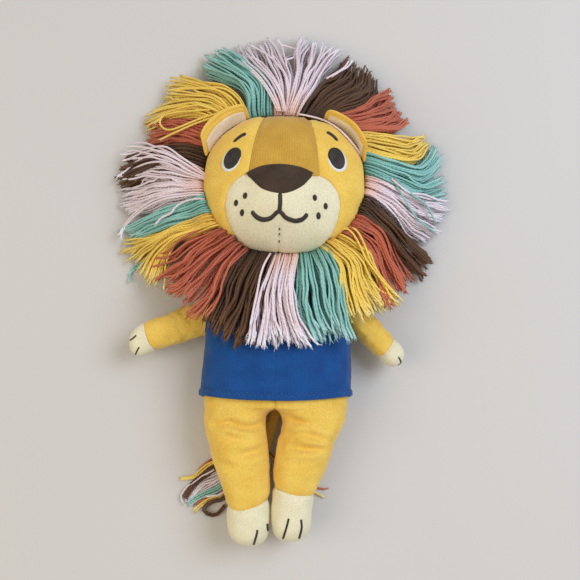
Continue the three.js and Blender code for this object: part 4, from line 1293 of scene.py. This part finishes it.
def rings_along(path):
    """The two directions across a path at each of its points, without twist."""
    frames = []
    for i, point in enumerate(path):
        tangent = (path[min(i + 1, len(path) - 1)] - path[max(i - 1, 0)]).normalized()
        if i == 0:
            side = tangent.orthogonal().normalized()
        else:
            side = (before.rotation_difference(tangent) @ side).normalized()
        before = tangent
        frames.append((point, side, tangent.cross(side)))
    return frames


def add_strands(bm, strands, sides=6):
    """Closed strands of yarn with paths of one length, from one grid that is cut between them."""
    shades_and_tones = bm.verts.layers.float[STRAND_SHADE_AND_TONE]
    places = bm.verts.layers.float[STRAND_SHARE]
    strand_map = bm.loops.layers.uv.verify()
    points = len(strands[0].path)
    rows = points + 2
    last_row = rows * len(strands) - 1
    frames = [rings_along(strand.path) for strand in strands]
    lengths = [sum((b - a).length for a, b in zip(strand.path, strand.path[1:])) for strand in strands]
    made = bmesh.ops.create_grid(bm, x_segments=sides, y_segments=last_row, size=0.5)["verts"]
    row_of = {vert: round((vert.co.y + 0.5) * last_row) for vert in made}
    between = []
    for face in {face for vert in made for face in vert.link_faces}:
        found = {row_of[vert] // rows for vert in face.verts}
        if len(found) > 1:
            between.append(face)
            continue
        i = found.pop()
        face.material_index = strands[i].material
        for loop in face.loops:
            along = (row_of[loop.vert] % rows) / rows
            loop[strand_map].uv = (loop.vert.co.x + 0.5, along * lengths[i] / 10)
    for vert in made:
        i, k = divmod(row_of[vert], rows)
        strand = strands[i]
        turn = (vert.co.x + 0.5) * math.tau
        at = min(max(k - 1, 0), points - 1)
        point, side, other = frames[i][at]
        share = at / (points - 1)
        size = 0.0 if k in (0, rows - 1) else strand.radius * mix(1, strand.taper, share)
        vert[shades_and_tones] = strand.tone
        vert[places] = mix(strand.shares[0], strand.shares[1], share)
        vert.co = point + (side * math.cos(turn) + other * math.sin(turn)) * size
    bmesh.ops.delete(bm, geom=between, context="FACES")


def frayed_ends(strand, chance):
    """The loose plies at a strand's cut end."""
    tip = strand.path[-1]
    ahead = (strand.path[-1] - strand.path[-2]).normalized()
    ends = []
    for _ in range(chance.randint(2, 4)):
        aim = (ahead + Vector([chance.uniform(-0.5, 0.5) for _ in range(3)])).normalized()
        bend = Vector([chance.uniform(-1, 1) for _ in range(3)]) * 0.6
        reach = chance.uniform(1.5, 4.2)
        start = tip - ahead * 1.2
        line = [start + aim * (reach * t) + bend * t * t for t in (0, 0.35, 0.7, 1)]
        for point in line:
            point.z = max(point.z, 0.6)
        # Painted light: the loose plies are drawn a little lighter than their strand, in the tip's paler
        # colour.
        ends.append(Strand(line, strand.radius * PLY_SIZE, strand.tone + 0.1, (0.97, 1.0), 0.4,
                           strand.material))
    return ends


def knit_strands(strands, chance):
    """A mesh of strands and their frayed ends."""
    bm = bmesh.new()
    bm.verts.layers.float.new(STRAND_SHADE_AND_TONE)
    bm.verts.layers.float.new(STRAND_SHARE)
    bm.loops.layers.uv.verify()
    for count in sorted({len(strand.path) for strand in strands}):
        add_strands(bm, [strand for strand in strands if len(strand.path) == count])
    add_strands(bm, [end for strand in strands for end in frayed_ends(strand, chance)], 4)
    join_doubles(bm, 0.004)
    bmesh.ops.recalc_face_normals(bm, faces=bm.faces)
    return bm


def from_foot(angle):
    """How far a bearing in degrees is from the foot of the head."""
    return abs((angle + 90 + 180) % 360 - 180)


def chest_share(angle):
    return smooth((65 - from_foot(angle)) / 35)


def crown_share(angle):
    """Where the yarn springs up over the edge of the face, on both sides of the chin."""
    return smooth((from_foot(angle) - 22) / 16) * smooth((98 - from_foot(angle)) / 30)


def underside(angle, share):
    """How high the mane's underside lies over the seam round the head, at a bearing in degrees."""
    lift = chest_share(angle)
    tip = mix(2.2 - HEAD.z, 7.5, lift)
    droop = mix(share ** 1.6, 1 - (1 - share) ** 3, lift)
    return mix(-4.5, tip, droop)


def tuft_thickness(share):
    if share < THICKEST_AT:
        return mix(8, 10.5, smooth(share / THICKEST_AT))
    return mix(10.5, 5, smooth((share - THICKEST_AT) / (1 - THICKEST_AT)))


def evenly_spaced(values):
    return [(k / (len(values) - 1), value) for k, value in enumerate(values)]


def strand_path(tuft, fan, chance, lock, layer, reach_share):
    """One strand of a tuft, whose lock gives its middle, its own place at both ends and its half width."""
    seed = chance.uniform(0, 90)
    path = []
    for k, (first, last) in enumerate(fan):
        share = k / STRAND_STEPS
        own = mix(lock.start_own, lock.end_own, smooth(share))
        gathered = 1 - 0.3 * math.sin(math.pi * share)
        place = mix(lock.start, lock.end, share) + own * lock.half_width * gathered
        place += 0.07 * uneven(lock.seed, share * 2.4, 0.3) * math.sqrt(share)
        aside = place - 0.5
        place = 0.5 + aside * (1 - tuft.parting * share) + math.copysign(tuft.parting / 2, aside) * share
        bearing_there = mix(first, last, place)
        angle = math.radians(bearing_there)
        crown = crown_share(bearing_there)
        root = outline_radius(angle) + 0.2 - 2.6 * crown * layer
        radius = mix(root, mix(*tuft.reaches, clamp(place)) * reach_share, share)
        height = underside(bearing_there, share) + 1 + layer * (tuft_thickness(share) - 2)
        height += tuft.over * layer * smooth(share * 3)
        height += 1.7 * layer * (1 - min(1, own * own)) * math.sqrt(share)
        height += (1.2 * layer + crown * (2 + 6.5 * layer)) * hump(share - 0.07, 0.12)
        height += 0.8 * uneven(seed, share * 5, 2.2) * math.sqrt(share)
        sway = 1.6 * uneven(lock.seed + 7, share * 5, 1.1) + 1.5 * uneven(seed, share * 6, 4.4)
        ray = direction(angle)
        point = HEAD + ray * radius + Vector((-ray.y, ray.x, 0)) * (sway * math.sqrt(share))
        point.z = max(HEAD.z + height, STRAND_RADIUS + CLEARANCE)
        path.append(point)
    return path


def loose_path(lift, route):
    """The path of a strand that lies over the mane, or on the face where lift is None."""
    path = []
    for spot in smooth_line(route, STRAND_STEPS + 1):
        if lift is None:
            path.append(from_plan(spot.x, spot.y, STRAND_RADIUS))
            continue
        angle = math.atan2(spot.y, spot.x)
        edge = outline_radius(angle)
        share = clamp((spot.length - edge) / (MANE_REACH - edge))
        height = underside(math.degrees(angle), share) + tuft_thickness(share) + 2.5 + lift
        height += 6 * crown_share(math.degrees(angle)) * hump(share - 0.07, 0.12)
        point = HEAD + spot
        point.z = max(HEAD.z + height, STRAND_RADIUS + CLEARANCE)
        path.append(point)
    return path


def tuft_strands(number, tuft, chance):
    """A tuft's strands: first a bed of even ones, then those of its locks, then its loose ones."""
    first, last = evenly_spaced(tuft.first), evenly_spaced(tuft.last)
    steps = [k / STRAND_STEPS for k in range(STRAND_STEPS + 1)]
    fan = [(along_rows(first, share)[0], along_rows(last, share)[0]) for share in steps]
    strands = []
    for k in range(BASE_STRANDS):
        place = (k + 0.5) / BASE_STRANDS
        layer = chance.uniform(0, 0.3)
        end = place + chance.uniform(-0.06, 0.06)
        lock = Lock(place, end, 0, 0, 0, number * 11.3)
        path = strand_path(tuft, fan, chance, lock, layer, chance.uniform(0.88, 0.99))
        # Painted shade: the bed's strands get low values, so they are drawn darker under the locks.
        strands.append(Strand(path, STRAND_RADIUS, chance.uniform(0.05, 0.35), SHARES_ALONG))
    locks = []
    for k in range(LOCKS):
        middle = (k + 0.5) / LOCKS
        end = middle + chance.uniform(-0.05, 0.05)
        locks.append((middle, end, chance.uniform(0, 90), chance.uniform(0.95, 1.02)))
    for k in range(LOCK_STRANDS):
        start, end, seed, reach = locks[k % LOCKS]
        start_own = chance.uniform(-1, 1)
        end_own = mix(start_own, chance.uniform(-1.2, 1.2), 0.6)
        layer = chance.uniform(0.3, 1)
        if chance.random() < STRAY_CHANCE:
            end_own = chance.uniform(-2.4, 2.4)
            layer = chance.uniform(1, 1.15)
        lock = Lock(start, end, start_own, end_own, 0.72 / LOCKS, seed)
        path = strand_path(tuft, fan, chance, lock, layer, reach * chance.uniform(0.92, 1.0))
        # Painted shade: strands higher in the tuft are drawn lighter and lower ones darker, with a random
        # part.
        tone = clamp(0.25 + 0.5 * layer + chance.uniform(-0.2, 0.25))
        strands.append(Strand(path, STRAND_RADIUS, tone, SHARES_ALONG))
    for owner, lift, route in LOOSE_STRANDS:
        if owner == number:
            # Painted light: loose strands lie on top, are drawn lighter and start past the darkest part of
            # the root colour.
            tone = chance.uniform(0.7, 0.95)
            strands.append(Strand(loose_path(lift, route), STRAND_RADIUS, tone, (0.1, 0.96)))
    return strands


def make_mane():
    chance = random.Random(11)
    for number, tuft in enumerate(TUFTS, 1):
        bm = knit_strands(tuft_strands(number, tuft, chance), chance)
        name = f"mane_tuft_{number:02d}"
        on_chest = number in CHEST_TUFTS
        piece = finish_piece(name + "_yarn", bm, [YARNS[tuft.colour]], None if on_chest else "head", [name])
        if on_chest:
            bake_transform(piece, "head", "torso", start=(0, 0.064, 0.05), end=(0, 0.02, 0.05))


def make_tape():
    def place(across, along):
        angle = math.tau * across
        around = math.tau * along
        point = direction(angle) * (outline_radius(angle) + 0.1 + 0.75 * (1 + math.cos(around)))
        point.z = 1.2 * math.sin(around)
        return HEAD + point

    bm = cloth_grid(160, 12, 370, 6, place)
    join_doubles(bm, 0.005)
    bmesh.ops.recalc_face_normals(bm, faces=bm.faces)
    finish_piece("mane_tape_band", bm, [TAPE], "head", ["mane_tape"])


TAIL_PIVOT = Vector((0, -47.7, 4.5))
TAIL_BEARING = -104
TAIL_BEHIND = 4
TAIL_LENGTH = 36
TAIL_RADIUS = 4
TAIL_STRAND_RADIUS = 0.8

# The tail's yarn lies on the floor under the left leg: the colour of each bundle, how many strands it has,
# and its route in plan from the end of the tail.
TAIL_BUNDLES = [
    ("rust", 1, [(-11, -75), (-30, -79), (-47, -85), (-54, -90), (-57, -93)]),
    ("yellow", 2, [(-11, -76), (-30, -81), (-47, -88), (-53, -92), (-58, -97), (-62, -100), (-71, -101)]),
    ("brown", 3, [(-11, -77), (-29, -83), (-45, -92), (-53, -98), (-60, -104), (-64, -110), (-67, -115)]),
    ("pink", 2, [(-11, -78), (-28, -86), (-44, -96), (-51, -99), (-57, -104), (-60, -110), (-64, -116)]),
    ("pink", 2, [(-11, -79), (-28, -88), (-43, -100), (-51, -103), (-56, -107), (-61, -113)]),
    ("pink", 1, [(-45, -93), (-56, -100), (-64, -106), (-67, -109), (-70, -114), (-68, -119)]),
    ("pink", 2, [(-11, -80), (-27, -90), (-42, -102), (-48, -106), (-55, -110), (-63, -115), (-67, -118)]),
    ("teal", 3, [(-11, -80), (-26, -93), (-41, -107), (-47, -110), (-54, -113), (-60, -117), (-64, -120)]),
    ("pink", 1, [(-11, -81), (-25, -97), (-39, -111), (-45, -113), (-50, -114)]),
    ("rust", 2, [(-11, -81), (-25, -96), (-42, -111), (-50, -115), (-56, -117), (-58, -120)]),
    ("yellow", 2, [(-10, -82), (-24, -100), (-39, -113), (-45, -115), (-51, -118), (-55, -121),
                   (-59, -125)]),
    ("brown", 2, [(-10, -82), (-24, -102), (-38, -115), (-45, -117), (-50, -120), (-52, -124), (-48, -127),
                  (-42, -127), (-36, -120)]),
    ("rust", 1, [(-4, -79), (10, -90), (24, -100), (34, -104), (41, -105)]),
    ("yellow", 1, [(-4, -80), (10, -93), (24, -103), (34, -108), (40, -111)]),
    ("pink", 1, [(-7, -78), (-3, -84), (0, -89), (-3, -95), (-10, -97)]),
]


def make_tail():
    ray = direction(math.radians(TAIL_BEARING))
    side = UP.cross(ray)

    def place(across, along):
        turn = math.tau * across
        distance = mix(-TAIL_BEHIND, TAIL_LENGTH, along)
        closing = rounded_end(distance + TAIL_BEHIND, TAIL_BEHIND)
        closing *= rounded_end(TAIL_LENGTH - distance, 2.5)
        size = closing * (TAIL_RADIUS + 0.25 * uneven(across * 4, distance / 5))
        return TAIL_PIVOT + ray * distance + (side * math.cos(turn) + UP * math.sin(turn)) * size

    bm = cloth_grid(28, 50, 25, 40, place)
    join_doubles(bm, 0.005)
    face_outwards(bm, TAIL_PIVOT + ray * 16)
    tail = finish_piece("tail_cloth", bm, [YELLOW], "tail", ["tail"])


def make_tail_tuft():
    chance = random.Random(5)
    strands = []
    for order, (colour, count, route) in enumerate(TAIL_BUNDLES):
        line = smooth_line(route, STRAND_STEPS + 1)
        low = STRAND_RADIUS + CLEARANCE + 0.9 * (order % 3)
        for k in range(count):
            aside = (k - (count - 1) / 2) * 1.7
            seed = chance.uniform(0, 50)
            path = []
            for i, spot in enumerate(line):
                share = i / STRAND_STEPS
                tangent = (line[min(i + 1, STRAND_STEPS)] - line[max(i - 1, 0)]).normalized()
                sway = aside * smooth(share * 3 + 0.2) + 0.5 * uneven(seed, share * 5)
                height = mix(TAIL_PIVOT.z, low, smooth(share * 3))
                path.append(spot + UP.cross(tangent) * sway + UP * height)
            tone = chance.uniform(0.45, 0.85)
            strands.append(Strand(path, TAIL_STRAND_RADIUS, tone, (0.1, 0.96), 1.0,
                                  list(YARNS).index(colour)))
    bm = knit_strands(strands, chance)
    finish_piece("tail_tuft_yarn", bm, list(YARNS.values()), "tail", ["tail_tuft"])


def make_floor():
    bm = bmesh.new()
    bmesh.ops.create_grid(bm, x_segments=2, y_segments=2, size=FLOOR_HALF)
    floor = finish_piece("floor", bm, [plain_floor()])


# The lion

place_camera()
add_lamp("window_right", (0.9, 0.35, 1.2), 1.0, 15.6, "#dfe9ff")
add_lamp("window_left", (-1.0, -0.3, 1.15), 1.2, 8.6, "#ffeed6")
world = bpy.data.worlds.new("soft_room_light")
world.use_nodes = True
room = world.node_tree.nodes["Background"].inputs
room["Color"].default_value = linear("#ffffff")
room["Strength"].default_value = ROOM_LIGHT
bpy.context.scene.world = world
bpy.context.scene.view_settings.view_transform = "Standard"

make_floor()
make_head_back()
make_muzzle()
make_cheek("left_cheek", -1)
make_cheek("right_cheek", 1)
make_forehead()
make_face()
make_ear("left", -1, 24, 6.2)
make_ear("right", 1, 13, 4.5)
make_body_bag()
make_shirt()
left_foot = make_leg(
    "left", -1, 0,
    [(0, 6.6, 51.6, 18.4), (12, 7.4, 51.9, 18.4), (34, 4.4, 46.1, 17.8), (66, 1.6, 34.2, 16.8),
     (LEG_LENGTH, -0.2, 31.0, 16.8)],
    [(-1, 65), (-0.56, 68.6), (0, 72.2), (0.45, 73.5), (1, 70.5)],
    [([(-42.9, -59.5), (-32.6, -58.6), (-23.7, -60.8), (-14.2, -60.8), (-7.2, -56.5)], 4.5, 2.8),
     ([(-41.5, -67.1), (-29.8, -68.4), (-20.2, -71.1)], 2.2, 3.0),
     ([(-25.8, -81.5), (-16.4, -79.6), (-7.1, -75.4)], 3.4, 3.0),
     ([(-38.2, -87.8), (-26.9, -89.6)], 1.8, 3.4)])
right_foot = make_leg(
    "right", 1, 4,
    [(0, 5.5, 52.5, 18.4), (12, 6.0, 50.4, 18.4), (34, 2.8, 43.0, 17.8), (66, 0.2, 31.4, 16.8),
     (LEG_LENGTH, -0.2, 29.2, 16.8)],
    [(-1, 60), (-0.5, 62.5), (0.1, 65), (1, 64.5)],
    [([(7.8, -51.4), (14.5, -54.5), (25.3, -57.1)], 4.4, 2.4),
     ([(21.8, -62.8), (29.8, -65.3), (40.4, -68.2)], 4.0, 2.6),
     ([(14.2, -73.5), (24.5, -74.6), (36.4, -73.8)], 3.6, 2.7),
     ([(9.3, -84), (20, -86.8), (29, -86)], 0.8, 3.4)])
make_claws("left_toe_stitches", left_foot,
           [[(-9.6, -134.1), (-10.0, -138.1), (-11.9, -145.4)],
            [(-2.5, -129.5), (-2.2, -132.1), (-1.7, -135.2)]], TOE_HEIGHT, "left_leg", TOE_WIDTH)
make_claws("right_toe_stitches", right_foot,
           [[(13.3, -125.1), (11.7, -132.3), (9.3, -140.6)],
            [(22.1, -125.5), (22.9, -131.9), (21.2, -139.9)]], TOE_HEIGHT, "right_leg", TOE_WIDTH)
left_paw = make_arm("left", LEFT_ARM, 54.5, 0.0)
right_paw = make_arm("right", RIGHT_ARM, 55.4, -1.6)
make_claws("left_claw_stitches", left_paw,
           [[(-109.0, 6.3), (-110.8, 4.3), (-114.0, 1.8)],
            [(-106.2, -2.7), (-107.7, -5.9), (-108.9, -9.0)]], CLAW_HEIGHT, "left_arm", CLAW_WIDTH)
make_claws("right_claw_stitches", right_paw,
           [[(92.5, -2.6), (94.7, -6.7), (93.7, -11.7)]], CLAW_HEIGHT, "right_arm", CLAW_WIDTH)
make_tape()
make_mane()
make_tail()
make_tail_tuft()
